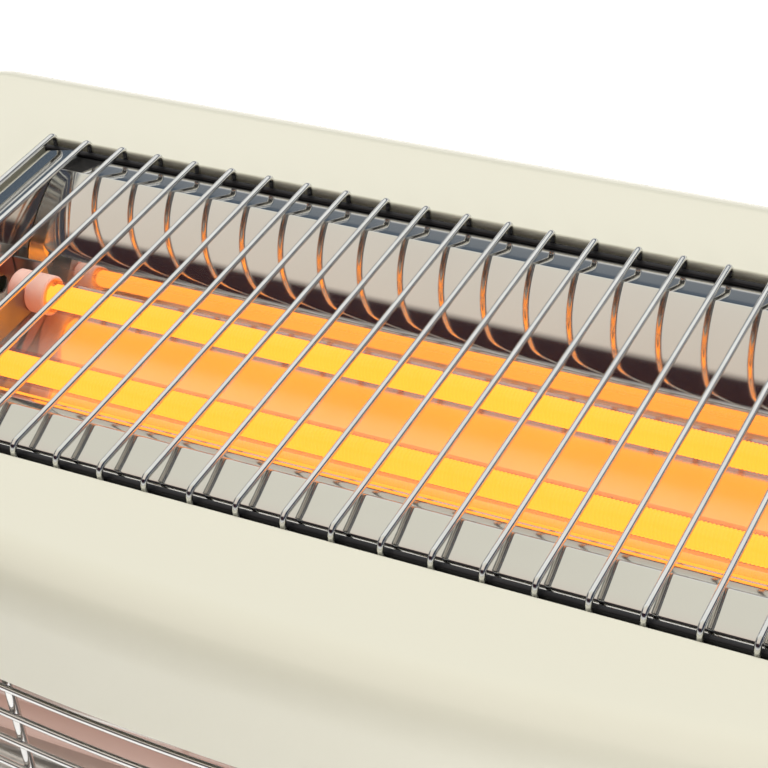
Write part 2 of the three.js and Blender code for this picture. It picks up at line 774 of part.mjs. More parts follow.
// ---------------------------------------------------------------- heat shield and thermal cut-out
function shieldGeometry() {
  const half = upperTrough.halfLength + endPlate.sheet + clearance;
  const section = ribbon([
    new THREE.Vector2(-half, shield.turnUp),
    new THREE.Vector2(-half, 0),
    new THREE.Vector2(half, 0),
    new THREE.Vector2(half, shield.turnUp),
  ], shield.sheet);
  return extrudeY(section, 2 * upperTrough.ridgeHalf);
}

const shieldZ = ridgeZ - upperTrough.depth - reflectorSheet - shield.gap;
const heatShield = place(heater, "heat_shield", shieldGeometry(), zincSteel());
heatShield.position.set(0, deckMiddleY, shieldZ);

function cutOutGeometry() {
  const { plate, plateLength, plateWidth, radius, height, blade } = cutOut;
  const disc = cylinder(radius, height, 20).rotateX(Math.PI / 2).translate(0, 0, -plate - height / 2);
  const blades = [-1, 1].map((side) =>
    box(0.8, 6.3, blade + 1, (side * radius) / 2, 0, -plate - height - blade / 2 + 0.5),
  );
  return join(box(plateLength, plateWidth, plate, 0, 0, -plate / 2), disc, ...blades);
}

const thermalCutOut = place(heater, "thermal_cut_out", cutOutGeometry(), blackPlastic());
thermalCutOut.position.set(cutOut.x, deckMiddleY, shieldZ - shield.sheet - clearance);

// ---------------------------------------------------------------- switches on the deck
// A switch is built about its own pivot line, with Z = 0 where its border meets the deck.
function bezelGeometry() {
  const { width, length } = switchBox;
  const { border, cornerRadius, height, boxDepth, wall } = bezel;
  const frame = roundedRectangle(width + 2 * border, length + 2 * border, cornerRadius);
  const hollow = box(
    2 * (rocker.halfWidth + clearance),
    2 * (rocker.radius + clearance),
    2 * (boxDepth - wall),
    0,
    0,
    0,
  );
  const pinReach = rocker.halfWidth + rockerForm.pinLength + clearance;
  const pinHole = cylinder(rockerForm.pinRadius + drill, 2 * pinReach, 10)
    .rotateZ(Math.PI / 2)
    .translate(0, 0, rockerPivot);
  const body = join(
    extrude(frame, height).translate(0, 0, height / 2),
    box(width, length, boxDepth, 0, 0, -boxDepth / 2),
  );
  return cut(body, hollow, pinHole);
}

function rockerGeometry() {
  const { faceRise, edgeAngle, skirtAngle, pinRadius, pinLength } = rockerForm;
  const edge = degrees(edgeAngle);
  const skirt = degrees(skirtAngle);
  const side = new THREE.Shape([
    ...arcPoints(0, 0, rocker.radius, -skirt, edge, 4),
    new THREE.Vector2(0, faceRise),
    ...arcPoints(0, 0, rocker.radius, Math.PI - edge, Math.PI + skirt, 4),
  ]);
  const pins = cylinder(pinRadius, 2 * (rocker.halfWidth + pinLength), 10).rotateZ(Math.PI / 2);
  return join(extrudeX(side, 2 * rocker.halfWidth), pins);
}

switchYs.forEach((y, index) => {
  const group = new THREE.Group();
  group.position.set(switchX, y, deckZ + clearance);
  place(group, `switch_bezel_${index + 1}`, bezelGeometry(), blackPlastic());
  const lever = place(group, `rocker_${index + 1}`, rockerGeometry(), blackPlastic());
  lever.position.z = rockerPivot;
  lever.rotation.x = degrees(rockerTilt);
  heater.add(group);
});

// ---------------------------------------------------------------- tip-over switch
function tipSwitchGeometry() {
  const { width, length, height, roof } = tipSwitch;
  const bore = cylinder(plunger.collarRadius + clearance, 2 * (height - roof), 16);
  return cut(box(width, length, height, 0, 0, height / 2), bore.rotateX(Math.PI / 2));
}

// The plunger, with Z = 0 on the floor. The collar keeps it from dropping out of the base plate.
function plungerGeometry() {
  const { radius, collarRadius, collarAt, collar, reach, lift } = plunger;
  const collarZ = baseTopZ + collarAt;
  return turned([
    [0, lift],
    [radius - 1.5, lift],
    [radius, lift + 1.5],
    [radius, collarZ],
    [collarRadius, collarZ],
    [collarRadius, collarZ + collar],
    [radius, collarZ + collar],
    [radius, baseTopZ + reach],
    [0, baseTopZ + reach],
  ], 12);
}

const tipBody = place(heater, "tip_switch_body", tipSwitchGeometry(), blackPlastic());
tipBody.position.set(tipSwitchX, tipSwitchY, baseTopZ + clearance);
const tipPlunger = place(heater, "tip_switch_plunger", plungerGeometry(), finish(0xf0efe9, 0.4, 0));
tipPlunger.position.set(tipSwitchX, tipSwitchY, 0);

// ---------------------------------------------------------------- terminal block
function terminalGeometry() {
  const { length, width, height, ways } = terminalBlock;
  const pitch = length / ways;
  const cells = Array.from({ length: ways }, (_, index) => (index - (ways - 1) / 2) * pitch);
  const screwWells = cells.map((x) =>
    cylinder(pitch / 4, height / 2, 8).rotateX(Math.PI / 2).translate(x, 0, height),
  );
  const wireWells = cells.map((x) =>
    cylinder(pitch / 5, 2 * width, 8).translate(x, 0, height / 3),
  );
  const grooves = cells.slice(1).map((x) => box(1.5, 2 * width, height, x - pitch / 2, 0, height));
  return cut(box(length, width, height, 0, 0, height / 2), ...screwWells, ...wireWells, ...grooves);
}

const terminals = place(heater, "terminal_block", terminalGeometry(), ceramic());
const terminalX = terminalBlock.fromSide - casing.width / 2;
terminals.position.set(terminalX, backY - terminalBlock.fromBack, baseTopZ + clearance);

// ---------------------------------------------------------------- rear panel and what it carries
const glandX = gland.fromSide - casing.width / 2;
const glandZ = rearSillZ + gland.aboveSill;

function rearPanelGeometry() {
  const length = openingLength(rearOpening) + 2 * rearPanel.overlap;
  const height = rearOpening.width + 2 * rearPanel.overlap;
  const outline = roundedRectangle(length, height, rearPanel.cornerRadius);
  const sheet = extrudeY(outline, rearPanel.sheet).translate(0, backY + clearance, rearMiddleZ);
  const slots = [0, 1].flatMap((row) =>
    Array.from({ length: louvre.count }, (_, index) => {
      const x = (index - (louvre.count - 1) / 2) * louvre.pitch;
      const z = rearMiddleZ - louvre.firstRowDrop + row * louvre.rowHeight;
      return box(louvre.width, 4 * rearPanel.sheet, louvre.height, x, backY, z);
    }),
  );
  const glandHole = cylinder(gland.neckRadius + clearance, 4 * rearPanel.sheet, 20);
  return cut(
    sheet.translate(0, rearPanel.sheet / 2, 0),
    ...slots,
    ...rearScrewPlaces.map(rearScrewHole),
    glandHole.translate(glandX, backY, glandZ),
  );
}

place(heater, "rear_panel", rearPanelGeometry(), creamEnamel());

rearScrewPlaces.forEach(({ x, z }, index) => {
  const geometry = screwGeometry(screw.shankLength);
  const rearScrew = place(heater, `rear_screw_${index + 1}`, geometry, zincSteel());
  rearScrew.position.set(x, panelOuterY + clearance, z);
  rearScrew.rotation.x = Math.PI / 2;
});

// The bushing that a cord would leave by, turned about Z with its flange outside the panel.
function glandGeometry() {
  const { bore, neckRadius, flangeRadius, flange, barb } = gland;
  const throat = rearPanel.sheet + 2 * clearance;
  return turned([
    [bore, -throat - 5],
    [neckRadius - 1, -throat - 5],
    [neckRadius + barb, -throat],
    [neckRadius, -throat],
    [neckRadius, 0],
    [flangeRadius, 0],
    [flangeRadius, flange - 1],
    [flangeRadius - 1.5, flange],
    [bore + 1, flange],
    [bore, flange - 1],
  ], 12);
}

const cordGland = place(heater, "cord_gland", glandGeometry(), blackPlastic());
cordGland.position.set(glandX, panelOuterY + clearance, glandZ);
cordGland.rotation.x = -Math.PI / 2;

const pivotY = backY + pivotStandOff;

// The bail's rod, about its pivot line along X: a stub, an arm, the bar for the grip, and back.
function bailGeometry() {
  const { halfSpan, drop, bendRadius } = handle;
  const stubEnd = halfSpan + bendRadius + handleBracket.gap + handleBracket.width;
  const at = (x, z) => new THREE.Vector3(x, 0, z);
  const left = X.clone().negate();
  const down = Z.clone().negate();
  const outerBend = bend(at(-halfSpan - bendRadius, -bendRadius), Z, X, bendRadius, 3);
  const lowerBend = bend(at(-halfSpan + bendRadius, bendRadius - drop), left, down, bendRadius, 3);
  const leftHalf = [at(-stubEnd, 0), ...outerBend, ...lowerBend];
  const rightHalf = leftHalf.map((point) => at(-point.x, point.z)).reverse();
  return rod([...leftHalf, ...rightHalf], handle.rodRadius, 8);
}

function gripGeometry() {
  const { gripLength, gripRadius, rodRadius } = handle;
  const half = gripLength / 2;
  const bore = rodRadius + clearance;
  return alongX(turned([
    [bore, -half],
    [gripRadius - 1.5, -half],
    [gripRadius, -half + 1.5],
    [gripRadius - 0.8, 0],
    [gripRadius, half - 1.5],
    [gripRadius - 1.5, half],
    [bore, half],
  ], 14));
}

// A lug that stands off the rear panel, with a bore along X for the bail's stub.
function handleBracketGeometry() {
  const { width, height, plate, behind } = handleBracket;
  const standOff = pivotY - panelOuterY - clearance;
  const lug = new THREE.Shape();
  lug.moveTo(-standOff, -behind);
  lug.absarc(0, 0, behind, -Math.PI / 2, Math.PI / 2);
  lug.lineTo(-standOff, behind);
  const foot = box(width, plate, height, 0, plate / 2 - standOff, 0);
  const bore = cylinder(handle.rodRadius + clearance, 2 * width, 16).rotateZ(Math.PI / 2);
  return cut(join(extrudeX(lug, width, 6), foot), bore);
}

const bail = new THREE.Group();
bail.position.set(0, pivotY, rearSillZ + rearOpening.width - handlePivotDrop);
place(bail, "handle_bail", bailGeometry(), zincSteel());
place(bail, "handle_grip", gripGeometry(), blackPlastic()).position.z = -handle.drop;
const bracketX = handle.halfSpan + handle.bendRadius + handleBracket.gap + handleBracket.width / 2;
const bracketPlace = new THREE.Vector3(bracketX, 0, 0);
placeBothEnds(bail, "handle_bracket", handleBracketGeometry(), zincSteel(), bracketPlace);
heater.add(bail);

export default heater;
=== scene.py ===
# %% [markdown]
# The frame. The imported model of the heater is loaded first. Its bodies and nodes are the fixed
# skeleton, and every piece that is made here sits on them, in metres, in the same coordinates.

# %% Load the frame
import math

import bmesh
import bpy
from mathutils import Matrix, Vector


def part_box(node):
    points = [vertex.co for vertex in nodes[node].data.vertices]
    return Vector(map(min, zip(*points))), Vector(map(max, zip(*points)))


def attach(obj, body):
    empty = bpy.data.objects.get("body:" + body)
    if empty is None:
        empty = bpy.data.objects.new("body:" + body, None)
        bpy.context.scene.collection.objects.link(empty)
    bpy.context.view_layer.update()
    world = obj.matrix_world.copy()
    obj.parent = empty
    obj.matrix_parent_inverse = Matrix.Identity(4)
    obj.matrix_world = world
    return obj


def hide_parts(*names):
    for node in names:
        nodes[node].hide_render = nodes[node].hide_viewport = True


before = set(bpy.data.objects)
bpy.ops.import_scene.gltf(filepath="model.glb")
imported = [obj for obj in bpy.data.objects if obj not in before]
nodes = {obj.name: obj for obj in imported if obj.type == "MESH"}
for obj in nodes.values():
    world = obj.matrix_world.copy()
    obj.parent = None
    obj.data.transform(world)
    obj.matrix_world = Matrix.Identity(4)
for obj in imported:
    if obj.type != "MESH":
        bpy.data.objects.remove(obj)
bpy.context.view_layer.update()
MM = 0.001
TOUCHING = 0.001 * MM

# %% [markdown]
# Sizes read from the frame. The pieces below fit the solids, so their places come from the boxes
# of the nodes that they dress, and only the small folds and radii are new numbers. An opening is
# given as its length, its width and the radius of its corners.

# %% Places of the main nodes
box_of = {name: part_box(name) for name in nodes}
deck_z = box_of["casing"][1].z
foot_z = box_of["casing"][0].z
front_y = box_of["casing"][0].y
back_y = box_of["casing"][1].y
half_width = box_of["casing"][1].x
BOW_RADIUS = 946 * MM
CORNER_RADIUS = 25 * MM
BEND_RADIUS = 16 * MM
SHEET = 1.2 * MM
DECK_OPENING = (372 * MM, 149.8 * MM, 4 * MM)
FRONT_OPENING = (372 * MM, 105 * MM, 5 * MM)
REAR_OPENING = (410 * MM, 122 * MM, 6 * MM)
DECK_TO_FRONT_OPENING = 41.9 * MM
BASE_TO_REAR_OPENING = 21 * MM
front_opening_z = deck_z - DECK_TO_FRONT_OPENING - FRONT_OPENING[1] / 2
rear_opening_z = foot_z + BASE_TO_REAR_OPENING + REAR_OPENING[1] / 2
deck_y = (box_of["upper_guard"][0].y + box_of["upper_guard"][1].y) / 2
print("deck at", round(deck_z, 4), "front", round(front_y, 4), "back", round(back_y, 4))


def middle_of(name):
    """The middle of a node's box."""
    low, high = box_of[name]
    return (low + high) / 2


def bow_sag(x, inset=0.0):
    """How far the bowed front has curved back at a place along the heater."""
    radius = BOW_RADIUS - inset
    return BOW_RADIUS - math.sqrt(radius * radius - x * x)


# %% [markdown]
# The camera. A photograph is matched by first finding where it was taken from. Four ends of the
# guard's even wires gave the place and the turn of the lens, and the lens length came with them.

# %% Camera
SENSOR_WIDTH = 36
LENS = 96.11
LENS_RIGHT = (0.8945, 0.4400, -0.0796)
LENS_BACK = (0.3956, -0.6957, 0.5997)
LENS_FROM_GUARD = (0.20984, -0.40785, 0.33875)
camera_data = bpy.data.cameras.new("camera")
camera_data.sensor_width = SENSOR_WIDTH
camera_data.lens = LENS
camera = bpy.data.objects.new("camera", camera_data)
camera_right = Vector(LENS_RIGHT).normalized()
camera_back = Vector(LENS_BACK).normalized()
camera_up = camera_back.cross(camera_right)
camera_turn = Matrix((camera_right, camera_up, camera_back)).transposed()
guard_top = box_of["upper_guard"][1].z
camera_place = Vector((LENS_FROM_GUARD[0], deck_y + LENS_FROM_GUARD[1],
                       guard_top + LENS_FROM_GUARD[2]))
camera.matrix_world = Matrix.Translation(camera_place) @ camera_turn.to_4x4()
bpy.context.scene.view_settings.view_transform = "Standard"
bpy.context.scene.collection.objects.link(camera)
bpy.context.scene.camera = camera
print("camera at", tuple(camera.matrix_world.translation))

# %% [markdown]
# A pen for folded sheet. Sheet metal is straight runs joined by round folds, so one small helper
# draws such a line like a person steering a pen: go straight, or turn along an arc. The straight
# runs are extruded vertices and the arcs are spun, so a fold always meets its run smoothly.

# %% Pen
class Pen:
    """Draws a line of edges in the plane of two axes, with a heading in degrees."""

    def __init__(self, mesh, start, heading, across, up):
        self.mesh, self.across, self.up = mesh, Vector(across), Vector(up)
        self.axis = self.across.cross(self.up)
        self.heading = math.radians(heading)
        self.tip = mesh.verts.new(start)

    def direction(self, turn=0.0):
        angle = self.heading + turn
        return self.across * math.cos(angle) + self.up * math.sin(angle)

    def go(self, length, steps=1):
        for _ in range(steps):
            made = bmesh.ops.extrude_vert_indiv(self.mesh, verts=[self.tip])
            self.tip = made["verts"][0]
            self.tip.co += self.direction() * (length / steps)
        return self

    def turn(self, angle, radius, steps=6):
        angle = math.radians(angle)
        side = math.copysign(math.pi / 2, angle)
        centre = self.tip.co + self.direction(side) * radius
        made = bmesh.ops.spin(
            self.mesh, geom=[self.tip], cent=centre, axis=self.axis, angle=angle, steps=steps
        )
        self.tip = next(g for g in made["geom_last"] if isinstance(g, bmesh.types.BMVert))
        self.heading += angle
        return self

    def face(self, degrees):
        self.heading = math.radians(degrees)
        return self


def merge(mesh):
    """Joins the vertices that lie on each other."""
    bmesh.ops.remove_doubles(mesh, verts=mesh.verts[:], dist=TOUCHING)


def shift(mesh, offset):
    """Moves a whole mesh."""
    bmesh.ops.translate(mesh, verts=mesh.verts[:], vec=offset)


def close_line(mesh):
    """Welds the two ends of a drawn line and fills it as one face."""
    merge(mesh)
    return bmesh.ops.contextual_create(mesh, geom=mesh.edges[:])["faces"][0]


def pull(mesh, geometry, offset):
    """Extrudes edges or faces by an offset and returns the new edges."""
    edges = [g for g in geometry if isinstance(g, bmesh.types.BMEdge)]
    made = bmesh.ops.extrude_edge_only(mesh, edges=edges)["geom"]
    moved = [g for g in made if isinstance(g, bmesh.types.BMVert)]
    bmesh.ops.translate(mesh, verts=moved, vec=offset)
    return [g for g in made if isinstance(g, bmesh.types.BMEdge)]


# %% [markdown]
# Finishing a piece. Each piece ends as one mesh at the origin, with smooth shading that breaks at
# sharp folds, with its material, and riding on the body that carries it. Vertices that lie on each
# other are merged first, so no seam shows. A piece of single sheet gets its wall from a modifier,
# which keeps the walls even round every fold.

# %% Finish
def finish_piece(mesh, name, body, material, replaces=(), sharp=35.0, even=False, wall=0.0):
    """Turns a drawn mesh into a finished piece of the heater."""
    merge(mesh)
    if not wall:
        bmesh.ops.recalc_face_normals(mesh, faces=mesh.faces[:])
    for face in mesh.faces:
        face.smooth = True
    data = bpy.data.meshes.new(name)
    mesh.to_mesh(data)
    mesh.free()
    data.set_sharp_from_angle(angle=math.radians(sharp))
    piece = bpy.data.objects.new(name, data)
    bpy.context.scene.collection.objects.link(piece)
    data.materials.append(material)
    if wall:
        thicken(piece, wall)
    if even:
        even_normals = piece.modifiers.new("even_normals", "WEIGHTED_NORMAL")
        even_normals.keep_sharp = True
    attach(piece, body)
    if replaces:
        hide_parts(*replaces)
    print(name, len(data.polygons), "faces")
    return piece


def thicken(piece, thickness):
    """Gives a single-walled sheet its thickness, on the side away from its normals."""
    wall = piece.modifiers.new("wall", "SOLIDIFY")
    wall.thickness, wall.offset, wall.use_even_offset = thickness, -1, True


# %% [markdown]
# Shared patterns. Wear, grain and smudges turn up in several finishes, so each is a node group
# with named inputs that is built once. A group gives only a colour, a value or a normal, and the
# shader stays in the material.

# %% Group helper
def new_group(name, inputs, outputs):
    """A node group from lists of (label, kind, value) and (label, kind)."""
    group = bpy.data.node_groups.new(name, "ShaderNodeTree")
    for label, kind, value in inputs:
        socket = group.interface.new_socket(label, in_out="INPUT", socket_type=kind)
        if value is not None:
            socket.default_value = value
    for label, kind in outputs:
        group.interface.new_socket(label, in_out="OUTPUT", socket_type=kind)
    return group, group.nodes.new("NodeGroupInput"), group.nodes.new("NodeGroupOutput")


def add_node(tree, kind, settings=None, **inputs):
    """Adds a node. Its inputs are set by name, or by number as _0, from a value or a socket."""
    node = tree.nodes.new(kind)
    for key, value in (settings or {}).items():
        setattr(node, key, value)
    for key, value in inputs.items():
        wanted = int(key[1:]) if key[1:].isdigit() else key.replace("_", " ")
        socket = node.inputs[wanted]
        if isinstance(value, bpy.types.NodeSocket):
            tree.links.new(value, socket)
        else:
            socket.default_value = value
    return node


# %% [markdown]
# Mottle. No real surface is one flat colour. A soft noise swings between two near colours, and the
# same mask can then vary the gloss, so that colour and shine change together.

# %% Group: mottle
mottle, given, result = new_group(
    "mottle",
    [
        ("Vector", "NodeSocketVector", None),
        ("Colour", "NodeSocketColor", (0.8, 0.8, 0.8, 1)),
        ("Second", "NodeSocketColor", (0.7, 0.7, 0.7, 1)),
        ("Scale", "NodeSocketFloat", 8.0),
        ("Contrast", "NodeSocketFloat", 1.0),
    ],
    [("Colour", "NodeSocketColor"), ("Mask", "NodeSocketFloat")],
)
noise = add_node(mottle, "ShaderNodeTexNoise", Vector=given.outputs["Vector"],
                 Scale=given.outputs["Scale"], Detail=4.0, Roughness=0.55)
spread = add_node(mottle, "ShaderNodeMath", {"operation": "SUBTRACT"},
                  _0=noise.outputs["Fac"], _1=0.5)
swing = add_node(mottle, "ShaderNodeMath", {"operation": "MULTIPLY_ADD", "use_clamp": True},
                 _0=spread.outputs[0], _1=given.outputs["Contrast"], _2=0.5)
blend = add_node(mottle, "ShaderNodeMix", {"data_type": "RGBA"}, _0=swing.outputs[0],
                 _6=given.outputs["Colour"], _7=given.outputs["Second"])
mottle.links.new(blend.outputs[2], result.inputs["Colour"])
mottle.links.new(swing.outputs[0], result.inputs["Mask"])

# %% [markdown]
# Grain. Enamel, cast ceramic and moulded plastic have a fine relief that breaks up the highlights.
# A bump from a small noise gives it without any more faces, and Stretch draws it out along the
# heater for rolled sheet.

# %% Group: grain
grain, given, result = new_group(
    "grain",
    [
        ("Vector", "NodeSocketVector", None),
        ("Scale", "NodeSocketFloat", 400.0),
        ("Height", "NodeSocketFloat", 0.00005),
        ("Stretch", "NodeSocketVector", (1, 1, 1)),
    ],
    [("Normal", "NodeSocketVector"), ("Mask", "NodeSocketFloat")],
)
stretched = add_node(grain, "ShaderNodeVectorMath", {"operation": "MULTIPLY"},
                     _0=given.outputs["Vector"], _1=given.outputs["Stretch"])
noise = add_node(grain, "ShaderNodeTexNoise", Vector=stretched.outputs[0],
                 Scale=given.outputs["Scale"], Detail=3.0)
bump = add_node(grain, "ShaderNodeBump", Height=noise.outputs["Fac"],
                Distance=given.outputs["Height"], Strength=1.0)
grain.links.new(bump.outputs[0], result.inputs["Normal"])
grain.links.new(noise.outputs["Fac"], result.inputs["Mask"])
print("groups", [g.name for g in bpy.data.node_groups])


# %% [markdown]
# Finishes. A material starts from one helper that gives it the shader with its plain numbers,
# the mottle that varies its colour and roughness, and the grain that roughens its surface.

# %% Material helper
def new_finish(name, colour, second, scale=10.0, contrast=1.0, rough=(0.3, 0.4),
               bump=(400.0, 0.00004), stretch=(1, 1, 1), **shader):
    """Rough is the least and most roughness, and bump is the grain's scale and height."""
    material = bpy.data.materials.new(name)
    material.use_nodes = True
    tree = material.node_tree
    surface = tree.nodes["Principled BSDF"]
    place = tree.nodes.new("ShaderNodeTexCoord").outputs["Object"]
    tone = add_node(tree, "ShaderNodeGroup", {"node_tree": mottle}, Vector=place,
                    Colour=(*colour, 1), Second=(*second, 1), Scale=scale, Contrast=contrast)
    tree.links.new(tone.outputs["Colour"], surface.inputs["Base Color"])
    gloss = add_node(tree, "ShaderNodeMapRange", Value=tone.outputs["Mask"],
                     To_Min=rough[0], To_Max=rough[1])
    tree.links.new(gloss.outputs[0], surface.inputs["Roughness"])
    relief = add_node(tree, "ShaderNodeGroup", {"node_tree": grain}, Vector=place,
                      Scale=bump[0], Height=bump[1], Stretch=stretch)
    tree.links.new(relief.outputs["Normal"], surface.inputs["Normal"])
    for key, value in shader.items():
        surface.inputs[key.replace("_", " ")].default_value = value
    return material


# %% [markdown]
# The list of finishes. Each line is one material of the real heater: two near colours, the scale
# and contrast of their mottle, the roughness, and the grain. Plain numbers such as the coat of the
# enamel go straight to the shader, because an exported model loses them behind other nodes.

# %% Finishes of the heater
cream_enamel = new_finish("cream_enamel", (0.80, 0.785, 0.655), (0.775, 0.76, 0.63), 6.0, 1.0,
                          (0.32, 0.42), (900.0, 0.00002), Coat_Weight=0.7, Coat_Roughness=0.1)
bright_aluminium = new_finish("bright_aluminium", (0.80, 0.79, 0.76), (0.70, 0.69, 0.66), 14.0, 1.2,
                              (0.05, 0.09), (60.0, 0.000004), (0.15, 1, 1))
chrome_wire = new_finish("chrome_wire", (0.86, 0.86, 0.85), (0.74, 0.74, 0.73), 60.0, 1.5,
                         (0.10, 0.2), (900.0, 0.00001), Metallic=1.0)
zinc_steel = new_finish("zinc_steel", (0.46, 0.47, 0.47), (0.34, 0.35, 0.36), 45.0, 2.0,
                        (0.28, 0.45), (300.0, 0.00002), Metallic=1.0)
# Painted shade: a near-black steel for the guard's rails, which are chrome but sit in a dark slot.
painted_shade_steel = new_finish("painted_shade_steel", (0.045, 0.045, 0.05), (0.03, 0.03, 0.034), 45.0, 2.0,
                        (0.3, 0.42), (300.0, 0.00002), Metallic=0.8)
white_ceramic = new_finish("white_ceramic", (0.76, 0.71, 0.64), (0.66, 0.60, 0.53), 90.0, 1.5,
                           (0.5, 0.7), (700.0, 0.00004))
# White ceramic with a painted glow: an orange emission that stands in for the coil's light falling on
# the caps of the lit tubes.
warm_ceramic = new_finish("warm_ceramic", (0.76, 0.71, 0.64), (0.66, 0.60, 0.53), 90.0, 1.5,
                          (0.5, 0.7), (700.0, 0.00004), Emission_Color=(1.0, 0.14, 0.05, 1),
                          Emission_Strength=0.32)
black_plastic = new_finish("black_plastic", (0.018, 0.018, 0.019), (0.03, 0.03, 0.031), 120.0, 1.2,
                           (0.38, 0.5), (1500.0, 0.00003))
rocker_plastic = new_finish("rocker_plastic", (0.012, 0.012, 0.013), (0.02, 0.02, 0.021), 90.0, 1.2,
                            (0.2, 0.3), (1800.0, 0.00001), Coat_Weight=0.3, Coat_Roughness=0.1)
white_plastic = new_finish("white_plastic", (0.78, 0.77, 0.73), (0.72, 0.71, 0.67), 80.0, 1.0,
                           (0.35, 0.45), (1200.0, 0.00002))
rubber_foot = new_finish("rubber_foot", (0.03, 0.03, 0.03), (0.05, 0.05, 0.048), 70.0, 1.6,
                         (0.7, 0.85), (900.0, 0.00006))

# %% [markdown]
# Haze on the reflectors. The bright sheet beside the tubes is a little clouded by the heat, and
# the part near the deck is still a mirror. A smooth step over the height of the trough leads from
# one to the other. It goes to Metallic, which lets some of the plain colour through where it is
# lower, and it needs no second material and no seam.

# %% Haze
HAZE_DEPTHS = (21 * MM, 17 * MM)
HAZY, MIRROR = 0.72, 0.96
tree = bright_aluminium.node_tree
place = tree.nodes.new("ShaderNodeTexCoord").outputs["Object"]
rise = add_node(tree, "ShaderNodeSeparateXYZ", Vector=place).outputs["Z"]
haze = add_node(tree, "ShaderNodeMapRange", {"interpolation_type": "SMOOTHSTEP"}, Value=rise,
                From_Min=deck_z - HAZE_DEPTHS[0], From_Max=deck_z - HAZE_DEPTHS[1],
                To_Min=HAZY, To_Max=MIRROR)
tree.links.new(haze.outputs[0], tree.nodes["Principled BSDF"].inputs["Metallic"])
print("haze from", round(deck_z - HAZE_DEPTHS[0], 4), "to", round(deck_z - HAZE_DEPTHS[1], 4))

# %% [markdown]
# Lit quartz. At working heat the coil is far brighter than the room, and a photograph shows it as
# an even band of yellow. A lamp in each tube would take many samples to come clean, so the coil
# itself gives off light: a dark wire whose emission varies slowly along it. The quartz round it
# only tints it, and stays thin enough to see the winding through.
#
# The front pair has its own switch and is off here. Its quartz is milky. The warm tint of its
# colour and its faint warm emission are a painted glow, which stands in for the trough's light
# falling on it. Its coil is plain drawn wire.

# %% Lit quartz and coil
def new_glow(name, colour, second, scale, strength):
    """A dark coil whose emission varies slowly along it."""
    material = new_finish(name, (0.05, 0.03, 0.02), (0.03, 0.02, 0.015), scale, 1.0, (0.5, 0.7),
                          (200.0, 0.00001))
    tree = material.node_tree
    surface = tree.nodes["Principled BSDF"]
    place = tree.nodes.new("ShaderNodeTexCoord").outputs["Object"]
    glow = add_node(tree, "ShaderNodeGroup", {"node_tree": mottle}, Vector=place,
                    Colour=(*colour, 1), Second=(*second, 1), Scale=scale)
    tree.links.new(glow.outputs["Colour"], surface.inputs["Emission Color"])
    surface.inputs["Emission Strength"].default_value = strength
    return material


lit_quartz = new_finish("lit_quartz", (0.20, 0.022, 0.012), (0.16, 0.016, 0.01), 25.0, 1.0,
                        (0.05, 0.1), (200.0, 0.00001), Alpha=0.22)
# Milky quartz for the unlit tubes, with a painted glow: warm tint and emission that stand in for the
# trough's light on it.
cool_quartz_painted_glow = new_finish("cool_quartz_painted_glow", (0.72, 0.56, 0.50), (0.66, 0.50, 0.45), 25.0, 1.0,
                         (0.12, 0.2), (200.0, 0.00001), Alpha=0.5,
                         Emission_Color=(1.0, 0.66, 0.54, 1), Emission_Strength=0.26)
cool_coil = new_finish("cool_coil", (0.42, 0.30, 0.25), (0.33, 0.24, 0.20), 60.0, 1.5,
                       (0.35, 0.5), (600.0, 0.00002), Metallic=0.5)
lit_coil = new_glow("lit_coil", (1.0, 0.30, 0.028), (1.0, 0.27, 0.022), 30.0, 3.7)
print("materials", len(bpy.data.materials))

# %% [markdown]
# Carried-over pieces. Where the imported solid already has the right form, it keeps it and only
# gets its finish, by the slot that its imported material's name begins with.

# %% Dress the solids
dress = {
    "cream_enamel": cream_enamel,
    "polished_aluminium": bright_aluminium,
    "chrome_wire": chrome_wire,
    "zinc_steel": zinc_steel,
    "quartz_glass": lit_quartz,
    "glowing_coil": lit_coil,
    "ceramic": white_ceramic,
    "black_plastic": black_plastic,
    "rocker_plastic": rocker_plastic,
    "white_plastic": white_plastic,
    "rubber_foot": rubber_foot,
}
slot_of = {}
for name, node in nodes.items():
    old = node.data.materials[0].name
    slot_of[name] = next(slot for slot in dress if old.startswith(slot))
    node.data.materials.clear()
    node.data.materials.append(dress[slot_of[name]])
print("dressed", len(nodes))

# %% [markdown]
# The casing. On the real heater it is one pressed sheet. Its plan is drawn with the pen: a flat
# back, round corners and the long shallow bow of the front. The plan is pulled down into walls,
# the top edge is bevelled into the bend, and the openings are cut through the sheet.

# %% Casing plan
def draw_plan(mesh, z, inset):
    """The casing's plan at one level, drawn in by an even inset."""
    corner_x = half_width - CORNER_RADIUS
    corner = CORNER_RADIUS - inset
    to_corner = BOW_RADIUS - CORNER_RADIUS
    meet = math.degrees(math.asin(corner_x / to_corner))
    front_corner_y = front_y + BOW_RADIUS - math.sqrt(to_corner ** 2 - corner_x ** 2)
    side = (back_y - CORNER_RADIUS) - front_corner_y
    pen = Pen(mesh, (corner_x, back_y - inset, z), 180, (1, 0, 0), (0, 1, 0))
    pen.go(2 * corner_x).turn(90, corner, 14).go(side)
    pen.turn(90 - meet, corner, 12).turn(2 * meet, BOW_RADIUS - inset, 72)
    pen.turn(90 - meet, corner, 12).go(side).turn(90, corner, 14)
    return close_line(mesh)


